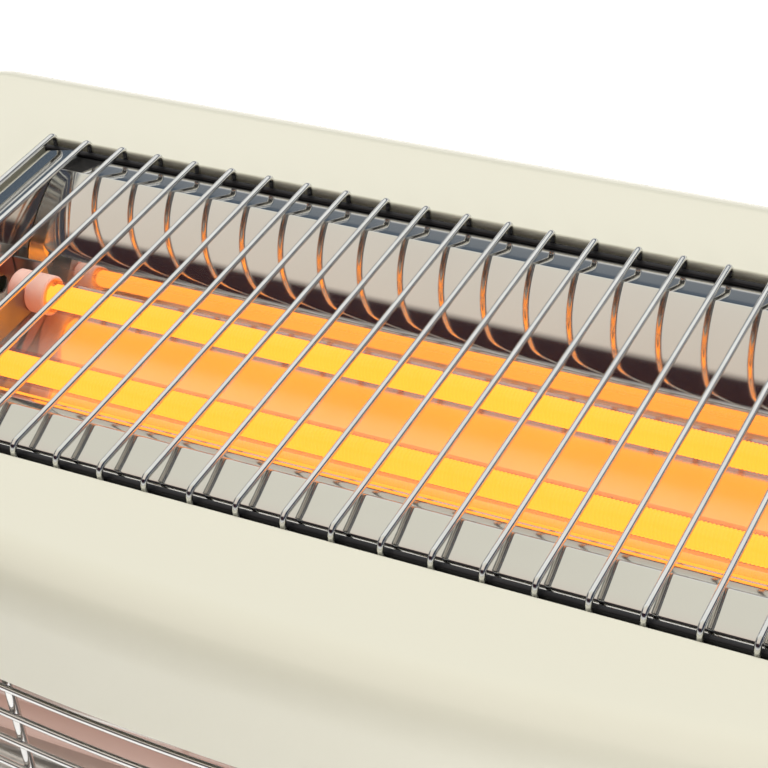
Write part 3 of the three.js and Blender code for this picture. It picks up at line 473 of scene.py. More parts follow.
# %% Casing walls and bend
def casing_block(inset, bottom_z):
    """The casing's outer form as a closed block, drawn in by an even inset."""
    mesh = bmesh.new()
    top_z = deck_z - inset
    top = draw_plan(mesh, top_z, inset)
    made = bmesh.ops.extrude_face_region(mesh, geom=[top])["geom"]
    lowered = [g for g in made if isinstance(g, bmesh.types.BMVert)]
    bmesh.ops.translate(mesh, verts=lowered, vec=(0, 0, bottom_z - top_z))
    bmesh.ops.recalc_face_normals(mesh, faces=mesh.faces[:])
    rim = [e for e in mesh.edges if all(abs(v.co.z - top_z) < TOUCHING for v in e.verts)]
    bmesh.ops.bevel(mesh, geom=rim, offset=BEND_RADIUS - inset, segments=12, profile=0.5,
                    affect="EDGES", material=-1, clamp_overlap=False)
    return mesh


# %% [markdown]
# Openings. A cutter is a rounded block whose rim flares out a little, so the cut edge comes out
# with the small round fold of pressed sheet. The front's cutter is bent along the bow first.

# %% Opening helper
def opening_walls(opening, levels):
    """Carries a rounded rectangle in the XY plane through levels of growth and depth."""
    length, across, radius = opening
    middle_x, middle_y = length / 2 - radius, across / 2 - radius
    mesh = bmesh.new()
    grow, depth = levels[0]
    pen = Pen(mesh, (middle_x, across / 2 + grow, -depth), 180, (1, 0, 0), (0, 1, 0))
    for run in (2 * middle_x, 2 * middle_y) * 2:
        pen.go(run).turn(90, radius + grow, 6)
    merge(mesh)
    ring = mesh.edges[:]
    for grow, depth in levels[1:]:
        ring = pull(mesh, ring, (0, 0, 0))
        for vert in {v for e in ring for v in e.verts}:
            inner = Vector((max(-middle_x, min(middle_x, vert.co.x)),
                            max(-middle_y, min(middle_y, vert.co.y)), -depth))
            outward = Vector((vert.co.x - inner.x, vert.co.y - inner.y, 0)).normalized()
            vert.co = inner + outward * (radius + grow)
    return mesh


# %% [markdown]
# The bow. The front opening lies in a curved wall. It is drawn flat like the others, stood up on
# the front, sliced into short lengths by planes and pushed back by the bow's sag at each place. A
# bend after the drawing keeps its outline true, which a cutter drawn on the curve wouldn't.

# %% Stand an opening up
BOW_STEPS = 60


def quarter_turn(mesh, side):
    bmesh.ops.rotate(mesh, verts=mesh.verts[:], cent=(0, 0, 0),
                     matrix=Matrix.Rotation(side * math.pi / 2, 3, "X"))


def stand_up(mesh):
    """Turns a drawn opening to face the front, slices it along the heater and bends it."""
    quarter_turn(mesh, 1)
    shift(mesh, (0, front_y, front_opening_z))
    for step in range(1 - BOW_STEPS // 2, BOW_STEPS // 2):
        place = (step * FRONT_OPENING[0] / BOW_STEPS, 0, 0)
        geometry = mesh.verts[:] + mesh.edges[:] + mesh.faces[:]
        bmesh.ops.bisect_plane(mesh, geom=geometry, plane_co=place, plane_no=(1, 0, 0))
    for vert in mesh.verts:
        vert.co.y += bow_sag(vert.co.x)


def as_cutter(mesh, name):
    """A closed mesh as a loose object, for a boolean to use."""
    bmesh.ops.recalc_face_normals(mesh, faces=mesh.faces[:])
    data = bpy.data.meshes.new(name)
    mesh.to_mesh(data)
    mesh.free()
    return bpy.data.objects.new(name, data)


# %% [markdown]
# The cutters. One hollows the block to the sheet's thickness, three cut the deck, the front and
# the rear, and two cut the holes that the switch bezels clip into. The deck's and the front's are
# trumpet-shaped at the surface: their last few levels follow a quarter circle, the small fold.

# %% Opening cutters
FOLD = 0.9 * MM
CUT_ABOVE, CUT_BELOW = 3 * MM, 6 * MM
REAR_CUT = 4 * MM
FOLD_ANGLES = (1.571, 1.1, 0.6, 0.001)
flare = [(FOLD + 0.01 * MM, -CUT_ABOVE)]
flare += [(FOLD * (1 - math.cos(a)), FOLD * (1 - math.sin(a))) for a in FOLD_ANGLES]
flare += [(0.0, CUT_BELOW)]


def opening_cutter(opening, levels):
    """The walls of an opening with both ends closed."""
    mesh = opening_walls(opening, levels)
    bmesh.ops.holes_fill(mesh, edges=mesh.edges[:])
    return mesh


deck_cut = opening_cutter(DECK_OPENING, flare)
shift(deck_cut, (0, deck_y, deck_z))
front_cut = opening_cutter(FRONT_OPENING, flare)
stand_up(front_cut)
rear_cut = opening_cutter(REAR_OPENING, [(0.0, -REAR_CUT), (0.0, REAR_CUT)])
quarter_turn(rear_cut, -1)
shift(rear_cut, (0, back_y, rear_opening_z))
cutters = [
    as_cutter(casing_block(SHEET, foot_z - 1 * MM), "hollow"), as_cutter(deck_cut, "deck_cut"),
    as_cutter(front_cut, "front_cut"), as_cutter(rear_cut, "rear_cut"),
]
print("cutters", [c.name for c in cutters])

# %% Switch holes
BEZEL_RIM = 2.9 * MM
SWITCH_CUT = 6 * MM
for name in ("switch_bezel_1", "switch_bezel_2"):
    low, high = box_of[name]
    hole = bmesh.new()
    bmesh.ops.create_cube(hole, size=1)
    size = Vector((high.x - low.x - 2 * BEZEL_RIM, high.y - low.y - 2 * BEZEL_RIM, SWITCH_CUT))
    bmesh.ops.scale(hole, verts=hole.verts[:], vec=size)
    shift(hole, (*middle_of(name).xy, deck_z))
    cutters.append(as_cutter(hole, name + "_cut"))
print("with switch holes", len(cutters))


# %% [markdown]
# The cut. The folded edges run through a bend and a bow, so a boolean is the plain way to cut
# them. The solver for closed meshes is quick and gives the same faces every time.

# %% Cut the casing
def cut_block(mesh, tools):
    """The block with each tool cut out of it, as a new mesh. The tools are removed."""
    data = bpy.data.meshes.new("blank")
    mesh.to_mesh(data)
    mesh.free()
    blank = bpy.data.objects.new("blank", data)
    bpy.context.scene.collection.objects.link(blank)
    for tool in tools:
        bpy.context.scene.collection.objects.link(tool)
        modifier = blank.modifiers.new(tool.name, "BOOLEAN")
        modifier.operation, modifier.solver, modifier.object = "DIFFERENCE", "MANIFOLD", tool
    bpy.context.view_layer.update()
    made = bmesh.new()
    made.from_object(blank, bpy.context.evaluated_depsgraph_get())
    for unused in [blank, *tools]:
        bpy.data.objects.remove(unused)
    return made


casing_mesh = cut_block(casing_block(0.0, foot_z), cutters)

# %% [markdown]
# The turned-in lips. The deck opening has a lip that hides the guard's rails, and the front
# opening has a shallow one. Each is a thin ring that carries on from the cut edge: its levels go
# down the inner wall, out by the sheet's thickness and up again to where they began.

# %% Lips
DECK_LIP = 8 * MM
FRONT_LIP = 3 * MM


def add_lip(mesh, opening, depth, place):
    """Adds a lip below an opening. Place moves the drawn ring to the opening."""
    levels = [(0.0, SHEET), (0.0, depth), (SHEET, depth), (SHEET, SHEET), (0.0, SHEET)]
    ring = opening_walls(opening, levels)
    merge(ring)
    place(ring)
    data = bpy.data.meshes.new("ring")
    ring.to_mesh(data)
    ring.free()
    mesh.from_mesh(data)
    bpy.data.meshes.remove(data)


add_lip(casing_mesh, DECK_OPENING, DECK_LIP,
        lambda ring: shift(ring, (0, deck_y, deck_z)))
add_lip(casing_mesh, FRONT_OPENING, FRONT_LIP, stand_up)
finish_piece(casing_mesh, "casing_shell", "heater_body", cream_enamel,
             ("casing",), even=True)


# %% [markdown]
# Wire. A guard's wire is a rod that runs straight and turns round bends. A circle of edges is
# pulled along the runs and spun round the bends, then its two ends are filled.

# %% Rod helper
def ring_centre(edges):
    """The middle of the circle that is being pulled along."""
    verts = dict.fromkeys(v for e in edges for v in e.verts)
    return sum((v.co for v in verts), Vector()) / len(verts)


def draw_rod(mesh, start, direction, radius, moves, sides=12):
    """Moves are ("go", length, steps) or ("turn", degrees, radius, axis, steps)."""
    direction = Vector(direction).normalized()
    lie = direction.to_track_quat("Z", "Y").to_matrix().to_4x4()
    made = bmesh.ops.create_circle(mesh, segments=sides, radius=radius, cap_ends=False,
                                   matrix=Matrix.Translation(start) @ lie)
    ring = list(dict.fromkeys(e for v in made["verts"] for e in v.link_edges))
    first = ring
    for move in moves:
        if move[0] == "go":
            for _ in range(move[2]):
                ring = pull(mesh, ring, direction * (move[1] / move[2]))
        else:
            _, angle, bend, axis, steps = move
            axis = Vector(axis)
            centre = ring_centre(ring) + axis.cross(direction) * math.copysign(bend, angle)
            spun = bmesh.ops.spin(mesh, geom=ring, cent=centre, axis=axis,
                                  angle=math.radians(angle), steps=steps)
            ring = [g for g in spun["geom_last"] if isinstance(g, bmesh.types.BMEdge)]
            direction = Matrix.Rotation(math.radians(angle), 3, axis) @ direction
    for end in (first, ring):
        bmesh.ops.contextual_create(mesh, geom=end)


# %% [markdown]
# The deck guard. Twenty-seven wires lie across the opening at an even pitch. Each turns down at
# both ends and is welded to a rail that hides under the edge. The rails are chrome like the wires,
# but they sit in a dark slot, so they are a piece of their own whose finish is painted shade: a
# near-black steel. They sink into the wires a little, as welds.

# %% Deck guard
WIRE = 1.0 * MM
WIRE_BEND = 2.2 * MM
PITCH = 14 * MM
END_SPACE = 4 * MM
RAIL = 1.25 * MM
RAIL_DEPTH = 4.6 * MM
WELD = 0.15 * MM
guard_low, guard_high = box_of["upper_guard"]
leg = guard_high.z - WIRE - WIRE_BEND - guard_low.z
run = (guard_high.y - guard_low.y) - 2 * (WIRE + WIRE_BEND)
eachside = math.floor((DECK_OPENING[0] / 2 - END_SPACE) / PITCH)
deck_guard = bmesh.new()
for index in range(-eachside, eachside + 1):
    start = Vector((index * PITCH, guard_low.y + WIRE, guard_low.z))
    draw_rod(deck_guard, start, (0, 0, 1), WIRE, [
        ("go", leg, 1),
        ("turn", -90, WIRE_BEND, (1, 0, 0), 6),
        ("go", run, 8),
        ("turn", -90, WIRE_BEND, (1, 0, 0), 6),
        ("go", leg, 1),
    ])
guard_rails = bmesh.new()
rail_z = guard_high.z - WIRE - RAIL_DEPTH
rail_in = 2 * WIRE + RAIL - WELD
for y in (guard_low.y + rail_in, guard_high.y - rail_in):
    draw_rod(guard_rails, (guard_low.x, y, rail_z), (1, 0, 0), RAIL,
             [("go", guard_high.x - guard_low.x, 1)])
# The rails' near-black finish is painted shade for the slot that they sit in.
finish_piece(guard_rails, "guard_rails", "heater_body", painted_shade_steel)
finish_piece(deck_guard, "deck_guard", "heater_body", chrome_wire, ("upper_guard",))

# %% [markdown]
# The front guard. Nine long wires follow the bow, with five uprights welded behind them. The
# wires are drawn straight and then pushed back by the bow's sag.

# %% Front guard
RECESS = 4.3 * MM
ROWS = 9
ROW_PITCH = 11 * MM
BOW_PULLS = 48
UPRIGHT = 1.5 * MM
UPRIGHTS_EACH_SIDE = 2
UPRIGHT_PITCH = 87 * MM
low, high = box_of["lower_guard"]
front_guard = bmesh.new()
for row in range(ROWS):
    z = front_opening_z + (row - (ROWS - 1) / 2) * ROW_PITCH
    draw_rod(front_guard, (low.x, front_y, z), (1, 0, 0), WIRE, [("go", high.x - low.x, BOW_PULLS)])
for vert in front_guard.verts:
    vert.co.y += bow_sag(vert.co.x, RECESS)
for index in range(-UPRIGHTS_EACH_SIDE, UPRIGHTS_EACH_SIDE + 1):
    x = index * UPRIGHT_PITCH
    y = front_y + bow_sag(x, RECESS) + WIRE + UPRIGHT - WELD
    draw_rod(front_guard, (x, y, low.z), (0, 0, 1), UPRIGHT, [("go", high.z - low.z, 1)])
finish_piece(front_guard, "front_guard", "heater_body", chrome_wire, ("lower_guard",))


# %% [markdown]
# The reflectors. Each is one long folded strip of bright aluminium. The pen draws half of its
# section: the shallow floor, the crease, the curved flare, the rounded ridge, the lip and the
# skirt. The line is pulled along the heater, mirrored, and given the sheet's thickness.
#
# What a mirror shows depends on the angle of each small part of it. So the flare is given as the
# angle that it has at some shares of its length, and the pen steps from one angle to the next.

# %% Section of a trough
FLARE_STEPS = 32
SKIRT_RADIUS = 0.8 * MM


def flare_headings(knots, steps):
    """Even steps along a line whose heading runs from knot to knot of (share, degrees)."""
    headings = []
    for step in range(steps):
        share = (step + 0.5) / steps
        start, end = next((a, b) for a, b in zip(knots, knots[1:]) if share <= b[0])
        part = (share - start[0]) / (end[0] - start[0])
        headings.append(math.radians(start[1] + (end[1] - start[1]) * part))
    return headings


def draw_half_trough(mesh, form):
    """Draws half of a trough's section, from the middle of its floor to its skirt."""
    pen = Pen(mesh, (0, 0, -form["depth"]), 0, (0, 1, 0), (0, 0, 1))
    floor_angle = math.degrees(math.asin(form["floor_half"] / form["floor_radius"]))
    pen.turn(floor_angle, form["floor_radius"], 18)
    fold = pen.tip.co.copy()
    reach = Vector((form["ridge_half"] - fold.y, -fold.z))
    headings = flare_headings(form["flare"], FLARE_STEPS)
    total = sum((Vector((math.cos(h), math.sin(h))) for h in headings), Vector((0, 0)))
    lean = math.atan2(reach.y, reach.x) - math.atan2(total.y, total.x)
    for heading in headings:
        pen.face(math.degrees(heading + lean)).go(reach.length / total.length)
    fall = math.degrees(math.atan2(form["lip_fall"], form["lip_width"]))
    ridge = form["ridge_radius"]
    pen.turn(-(math.degrees(pen.heading) + fall), ridge, 8)
    pen.go(form["lip_width"] - ridge, 4).turn(-(90 - fall), SKIRT_RADIUS, 4)
    pen.go(form["skirt"])


# %% Reflector helper
REFLECTOR_SHEET = 0.6 * MM
REFLECTOR_PULLS = 24


def reflector(name, form, half_length, place, replaced):
    mesh = bmesh.new()
    draw_half_trough(mesh, form)
    edges = mesh.edges[:]
    shift(mesh, (-half_length, 0, 0))
    for _ in range(REFLECTOR_PULLS):
        edges = pull(mesh, edges, (2 * half_length / REFLECTOR_PULLS, 0, 0))
    bmesh.ops.mirror(mesh, geom=mesh.verts[:] + mesh.edges[:] + mesh.faces[:],
                     axis="Y", merge_dist=TOUCHING)
    merge(mesh)
    bmesh.ops.recalc_face_normals(mesh, faces=mesh.faces[:])
    if sum(f.normal.z * f.calc_area() for f in mesh.faces) < 0:
        bmesh.ops.reverse_faces(mesh, faces=mesh.faces[:])
    bmesh.ops.transform(mesh, matrix=place, verts=mesh.verts[:])
    return finish_piece(mesh, name, "heater_body", bright_aluminium,
                        replaced, sharp=25, wall=REFLECTOR_SHEET)


# %% [markdown]
# The two troughs. The deck's is wide, with flares that start steep and lie down towards the deck.
# The front's is the same strip made narrower, and stands behind the front opening.

# %% Both reflectors
upper_form = {
    "depth": 33 * MM, "floor_half": 31 * MM, "floor_radius": 70 * MM, "ridge_half": 56.4 * MM,
    "flare": [(0, 84), (0.2, 78), (0.3, 62), (1, 32)], "lip_width": 12.8 * MM, "lip_fall": 2.7 * MM,
    "ridge_radius": 0.9 * MM, "skirt": 3.6 * MM,
}
lower_form = {
    "depth": 31 * MM, "floor_half": 25 * MM, "floor_radius": 58 * MM, "ridge_half": 38.5 * MM,
    "flare": [(0, 76), (1, 48)], "lip_width": 10 * MM, "lip_fall": 2.2 * MM,
    "ridge_radius": 0.9 * MM, "skirt": 4.2 * MM,
}
RIDGE_TO_WIRES = 1.4 * MM
ridge_z = guard_high.z - WIRE - RIDGE_TO_WIRES
lower_ridge_y = box_of["lower_reflector"][0].y
upper_half = box_of["upper_reflector"][1].x
lower_half = box_of["lower_reflector"][1].x
facing_front = Matrix.Rotation(math.pi / 2, 4, "X")
reflector("deck_reflector", upper_form, upper_half,
          Matrix.Translation((0, deck_y, ridge_z)), ("upper_reflector",))
reflector("front_reflector", lower_form, lower_half,
          Matrix.Translation((0, lower_ridge_y, front_opening_z)) @ facing_front,
          ("lower_reflector",))


# %% [markdown]
# The tubes. Each is clear quartz with a close-wound coil inside and a ceramic cap at each end.
# The tube and the caps are lathe work, so their sections are spun round the tube's axis.

# %% Lathe helper
def turned(mesh, profile, centre, axis=(1, 0, 0), sides=48, closed=True):
    """Spins pairs of (along, radius) round an axis. A closed profile joins its two ends."""
    axis, centre = Vector(axis), Vector(centre)
    side = Vector((1, 0, 0)) if abs(axis.z) > 0.5 else Vector((0, 0, 1))
    verts = [mesh.verts.new(centre + axis * along + side * radius) for along, radius in profile]
    ends = verts[1:] + verts[:1] if closed else verts[1:]
    edges = [mesh.edges.new(pair) for pair in zip(verts, ends)]
    bmesh.ops.spin(mesh, geom=verts + edges, cent=centre, axis=axis, angle=2 * math.pi,
                   steps=sides, use_merge=True)


def in_metres(profile):
    """A profile of (along, radius) in millimetres, as metres."""
    return [(along * MM, radius * MM) for along, radius in profile]


# %% [markdown]
# The winding. Each heating coil has hundreds of turns. To spin them all one after the other takes
# minutes, so a single turn of wire is spun as a screw, and the winding is then doubled again and
# again along the tube: eight doublings make 256 turns. The wire has only five sides, because it is
# seen through the quartz and its own light.

# %% Coil helper
COIL_WIRE = 0.64 * MM
COIL_DOUBLINGS = 8
COIL_STEPS = 14


def wind_coil(mesh, centre, length, radius):
    """One turn of wire is spun, then the winding is doubled until it fills the length."""
    pitch = length / 2 ** COIL_DOUBLINGS
    start = centre + Vector((-length / 2, 0, radius - COIL_WIRE))
    lie = Matrix.Rotation(math.pi / 2, 4, "X")
    made = bmesh.ops.create_circle(mesh, segments=5, radius=COIL_WIRE, cap_ends=False,
                                   matrix=Matrix.Translation(start) @ lie)
    ring = made["verts"] + list(dict.fromkeys(e for v in made["verts"] for e in v.link_edges))
    bmesh.ops.spin(mesh, geom=ring, cent=centre, axis=(1, 0, 0), dvec=(pitch / COIL_STEPS, 0, 0),
                   angle=2 * math.pi, steps=COIL_STEPS)
    for doubling in range(COIL_DOUBLINGS):
        copy = bmesh.ops.duplicate(mesh, geom=mesh.verts[:] + mesh.edges[:] + mesh.faces[:])["geom"]
        bmesh.ops.translate(mesh, verts=[g for g in copy if isinstance(g, bmesh.types.BMVert)],
                            vec=(pitch * 2 ** doubling, 0, 0))
    merge(mesh)
    bmesh.ops.holes_fill(mesh, edges=[e for e in mesh.edges if e.is_boundary])


# %% [markdown]
# The four tubes. Two lie in the deck's trough and are lit, and two in the front's and are not. A
# cap is turned with its collar, its groove for the bracket and the bore that the tube sits in.

# %% Tubes, coils and caps
GLASS_WALL = 1.0 * MM
COIL_GAP = 0.1 * MM
COIL_END = 2 * MM
CAP_PROFILE = [
    (8, 5.55), (8, 6.0), (8.5, 6.5), (14.5, 6.5), (15, 6.2), (15, 4.2), (16.4, 4.2), (16.4, 6.2),
    (16.9, 6.5), (21, 6.5), (22, 5.5), (22, 1.1), (10.3, 1.1), (10.3, 5.55),
]
tube_names = ("upper_front", "upper_rear", "lower_bottom", "lower_top")
for name in tube_names:
    low, high = box_of[name + "_tube"]
    centre = (low + high) / 2
    half = (high.x - low.x) / 2
    radius = (high.z - low.z) / 2
    bore = radius - GLASS_WALL
    lit = name.startswith("upper")
    tube = bmesh.new()
    turned(tube, [(-half, bore), (-half, radius), (half, radius), (half, bore)], centre)
    # The unlit tubes' quartz carries a painted glow from the trough's light.
    finish_piece(tube, name + "_glass", "heater_body", lit_quartz if lit else cool_quartz_painted_glow,
                 (name + "_tube",))
    coil = bmesh.new()
    wind_coil(coil, centre, 2 * (half - COIL_END), bore - COIL_GAP)
    finish_piece(coil, name + "_coil", "heater_body", lit_coil if lit else cool_coil,
                 (name + "_element",))
    for side in (-1, 1):
        where = "_left" if side < 0 else "_right"
        low, high = box_of[name + "_cap" + where]
        mouth = Vector((low.x if side > 0 else high.x, centre.y, centre.z))
        cap = bmesh.new()
        turned(cap, in_metres(CAP_PROFILE), mouth, (side, 0, 0), 40)
        # The lit tubes' caps carry a painted glow from the coil; the others are plain ceramic.
        finish_piece(cap, name + "_ceramic" + where, "heater_body",
                     warm_ceramic if lit else white_ceramic, (name + "_cap" + where,))

# %% [markdown]
# Screws. A domed screw is lathe work, with a cross cut in its head by two thin blocks. The cross
# is turned a little, as no one drives a row of screws to the same angle as the panel.

# %% Screw helper
HEAD_PROFILE = [
    (0, 0), (0.04, 0.9), (0.2, 1.9), (0.55, 2.8), (1.1, 3.4), (1.6, 3.6), (2.2, 3.6), (2.2, 1.75),
]


SHANK = 1.75
SHANK_POINT = (0.8, 1.0)
CROSS_BLADE = (3.9 * MM, 0.8 * MM, 2.4 * MM)
CROSS_TURN = 0.4


def draw_screw(name, top, down):
    """A domed head with a cross in it, on a plain shank."""
    down = Vector(down)
    low, high = box_of[name]
    length = max(high - low) / MM
    mesh = bmesh.new()
    shank = [(length - SHANK_POINT[0], SHANK), (length, SHANK_POINT[1]), (length, 0)]
    turned(mesh, in_metres(HEAD_PROFILE + shank), top, down, 28, closed=False)
    merge(mesh)
    bmesh.ops.recalc_face_normals(mesh, faces=mesh.faces[:])
    tools = []
    for turn in (0, math.pi / 2):
        slot = bmesh.new()
        bmesh.ops.create_cube(slot, size=1)
        bmesh.ops.scale(slot, verts=slot.verts[:], vec=CROSS_BLADE)
        lie = down.to_track_quat("Z", "Y").to_matrix().to_4x4()
        lie = lie @ Matrix.Rotation(turn + CROSS_TURN, 4, "Z")
        bmesh.ops.transform(slot, matrix=Matrix.Translation(top) @ lie, verts=slot.verts[:])
        tools.append(as_cutter(slot, name + "_slot"))
    finish_piece(cut_block(mesh, tools), name + "_head", "heater_body", zinc_steel,
                 (name,))


# %% [markdown]
# Feet. A rubber foot is turned as well, with a rounded sole, a groove above it, and a hole for its
# screw. A screw's head sits deep in the sole, and the rear panel's four screws sit at its corners.

# %% Feet and screws
FOOT_PROFILE = [
    (0, 4.2), (0, 11.4), (0.35, 12.2), (1.0, 12.8), (3.0, 13.2), (3.4, 12.6), (4.2, 12.6), (4.6, 13.5),
    (12.6, 14.8), (13.8, 14.9), (14.4, 14.6), (14.6, 14.0), (14.6, 2.1), (7.5, 2.1), (7.5, 4.2),
]
for number in ("1", "2", "3", "4"):
    sole = (*middle_of("foot_" + number).xy, box_of["foot_" + number][0].z)
    foot = bmesh.new()
    turned(foot, in_metres(FOOT_PROFILE), sole, (0, 0, 1))
    finish_piece(foot, "foot_pad_" + number, "heater_body", rubber_foot,
                 ("foot_" + number,))
    head = middle_of("foot_screw_" + number)
    head.z = box_of["foot_screw_" + number][0].z
    draw_screw("foot_screw_" + number, head, (0, 0, 1))
    head = middle_of("rear_screw_" + number)
    head.y = box_of["rear_screw_" + number][1].y
    draw_screw("rear_screw_" + number, head, (0, -1, 0))

# %% [markdown]
# The gland. Where a cord would go in, a moulded ring lines the hole in the rear panel. Its profile
# has the flange, two raised rims and the neck that snaps in behind the sheet.

# %% Gland
GLAND_PROFILE = [
    (-6.8, 4), (-6.8, 6), (-1.8, 7.9), (-1.8, 7), (0, 7), (0, 10.5), (2.0, 10.5), (2.6, 10.2),
    (3.0, 9.4), (3.0, 7.4), (2.5, 7.0), (2.5, 6.2), (3.0, 5.8), (3.0, 4.9), (2.6, 4.3), (2.0, 4),
]
GLAND_PROUD = 3 * MM
gland = bmesh.new()
gland_seat = middle_of("cord_gland")
gland_seat.y = box_of["cord_gland"][1].y - GLAND_PROUD
turned(gland, in_metres(GLAND_PROFILE), gland_seat, (0, 1, 0))
finish_piece(gland, "gland_ring", "heater_body", black_plastic, ("cord_gland",))

# %% [markdown]
# The handle. The bail is one bent rod, drawn like the guard's wires: a stub in each bracket, two
# arms and the bar that the grip sits on. Both pieces ride on the handle's body and swing with it.

# %% Bail
BAIL = 3 * MM
BAIL_BEND = 6 * MM
ARM_X = 50 * MM
low, high = box_of["handle_bail"]
pivot = Vector((0, middle_of("handle_bail").y, high.z - BAIL))
drop = pivot.z - (low.z + BAIL)
stub = (high.x - low.x) / 2 - ARM_X - BAIL_BEND
bail = bmesh.new()
draw_rod(bail, (low.x, pivot.y, pivot.z), (1, 0, 0), BAIL, [
    ("go", stub, 2),
    ("turn", 90, BAIL_BEND, (0, 1, 0), 10),
    ("go", drop - 2 * BAIL_BEND, 3),
    ("turn", -90, BAIL_BEND, (0, 1, 0), 10),
    ("go", 2 * (ARM_X - BAIL_BEND), 6),
    ("turn", -90, BAIL_BEND, (0, 1, 0), 10),
    ("go", drop - 2 * BAIL_BEND, 3),
    ("turn", 90, BAIL_BEND, (0, 1, 0), 10),
    ("go", stub, 2),
], 24)
finish_piece(bail, "bail_rod", "handle", zinc_steel, ("handle_bail",))

# %% [markdown]
# The grip. It is a moulded sleeve on the bail, swollen in the middle and with eleven shallow
# grooves. The grooves come from one short run of points that is repeated at an even step.

# %% Grip
GRIP = 6.9
GRIP_BORE = 3.3
GROOVE = 6.35
GROOVE_STEP = 5.4
GROOVES_EACH_SIDE = 5
SWELL = 0.05
half_grip = box_of["handle_grip"][1].x / MM
end = [(0, GRIP_BORE), (0, 5.6), (0.4, 6.4), (1.2, GRIP)]
grip_profile = [(inward - half_grip, radius) for inward, radius in end]
for ring in range(-GROOVES_EACH_SIDE, GROOVES_EACH_SIDE + 1):
    middle = ring * GROOVE_STEP
    edge = GRIP - SWELL * (GROOVES_EACH_SIDE - abs(ring))
    grip_profile += [(middle - 1.3, edge), (middle - 0.7, GROOVE), (middle + 0.7, GROOVE),
                     (middle + 1.3, edge)]
grip_profile += [(half_grip - inward, radius) for inward, radius in reversed(end)]
grip = bmesh.new()
turned(grip, in_metres(grip_profile), middle_of("handle_grip"))
finish_piece(grip, "grip_sleeve", "handle", black_plastic, ("handle_grip",))

# %% [markdown]
# Pressed and moulded pieces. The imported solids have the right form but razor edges. A copy of
# each is merged, its flat faces are joined again, and its edges are bevelled as a press or a
# mould would leave them.

# %% Soft edges
FLAT = math.radians(0.5)
FOLDED = math.radians(40)
BODY_OF = {"rocker_1": "rocker_front", "rocker_2": "rocker_rear", "tip_switch_plunger": "plunger"}
EDGE_OF = {
    "upper_end_plate_left": 0.2, "upper_end_plate_right": 0.2, "lower_end_plate_left": 0.2,
    "lower_end_plate_right": 0.2, "upper_tube_bracket_left": 0.2, "upper_tube_bracket_right": 0.2,
    "lower_tube_bracket_left": 0.2, "lower_tube_bracket_right": 0.2, "handle_bracket_left": 0.3,
    "handle_bracket_right": 0.3, "switch_bezel_1": 0.5, "switch_bezel_2": 0.5, "rocker_1": 0.45,
    "rocker_2": 0.45, "terminal_block": 0.5, "thermal_cut_out": 0.2, "tip_switch_body": 0.5,
    "rear_panel": 0.25, "base_plate": 0.2, "heat_shield": 0.2, "tip_switch_plunger": 0.3,
}
for name, edge in EDGE_OF.items():
    mesh = bmesh.new()
    mesh.from_mesh(nodes[name].data)
    merge(mesh)
    bmesh.ops.dissolve_limit(mesh, angle_limit=FLAT, verts=mesh.verts[:], edges=mesh.edges[:])
    sharp = [e for e in mesh.edges if e.is_manifold and e.calc_face_angle(0) > FOLDED]
    bmesh.ops.bevel(mesh, geom=sharp, offset=edge * MM, segments=2, profile=0.5, affect="EDGES",
                    material=-1, clamp_overlap=True)
    finish_piece(mesh, name + "_soft", BODY_OF.get(name, "heater_body"), dress[slot_of[name]],
                 (name,), even=True)

# %% [markdown]
# The floor. The heater stands on a pale sweep. Its own colour keeps the shadow, and a little
# emission lifts it to white, but only for rays from the camera and those that come by way of metal
# or glass. So the background is white without one more bit of light on the heater.

# %% Floor
FLOOR_SIZE = 60
floor_mesh = bmesh.new()
bmesh.ops.create_grid(floor_mesh, x_segments=1, y_segments=1, size=FLOOR_SIZE)
floor_data = bpy.data.meshes.new("floor")
floor_mesh.to_mesh(floor_data)
floor_mesh.free()
floor = bpy.data.objects.new("floor", floor_data)
bpy.context.scene.collection.objects.link(floor)
floor_finish = bpy.data.materials.new("pale_floor")
floor_finish.use_nodes = True
tree = floor_finish.node_tree
surface = tree.nodes["Principled BSDF"]
surface.inputs["Base Color"].default_value = (0.86, 0.86, 0.86, 1)
surface.inputs["Roughness"].default_value = 0.9
surface.inputs["Emission Color"].default_value = (0.4, 0.4, 0.4, 1)
rays = tree.nodes.new("ShaderNodeLightPath")
seen = rays.outputs["Is Camera Ray"]
for kind in ("Is Glossy Ray", "Is Transmission Ray"):
    either = add_node(tree, "ShaderNodeMath", {"operation": "MAXIMUM"}, _0=seen, _1=rays.outputs[kind])
    seen = either.outputs[0]
tree.links.new(seen, surface.inputs["Emission Strength"])
floor_data.materials.append(floor_finish)
print("floor", FLOOR_SIZE, "m")

# %% [markdown]
# The studio. Polished sheet has hardly a colour of its own: what one sees in it is the room. So the
# room is laid out as bands by their angle over the heater, from the horizon in front (0 degrees),
# over the top, to the horizon behind (180). The mirror of each slope of a trough then finds its
# band: a bright wall at both horizons, dark slate low in front, a white window, a warm ceiling,
# and a near-black gap high behind. The bands end at the sides in a dull blue, which the end plates
# and the outer lips show.

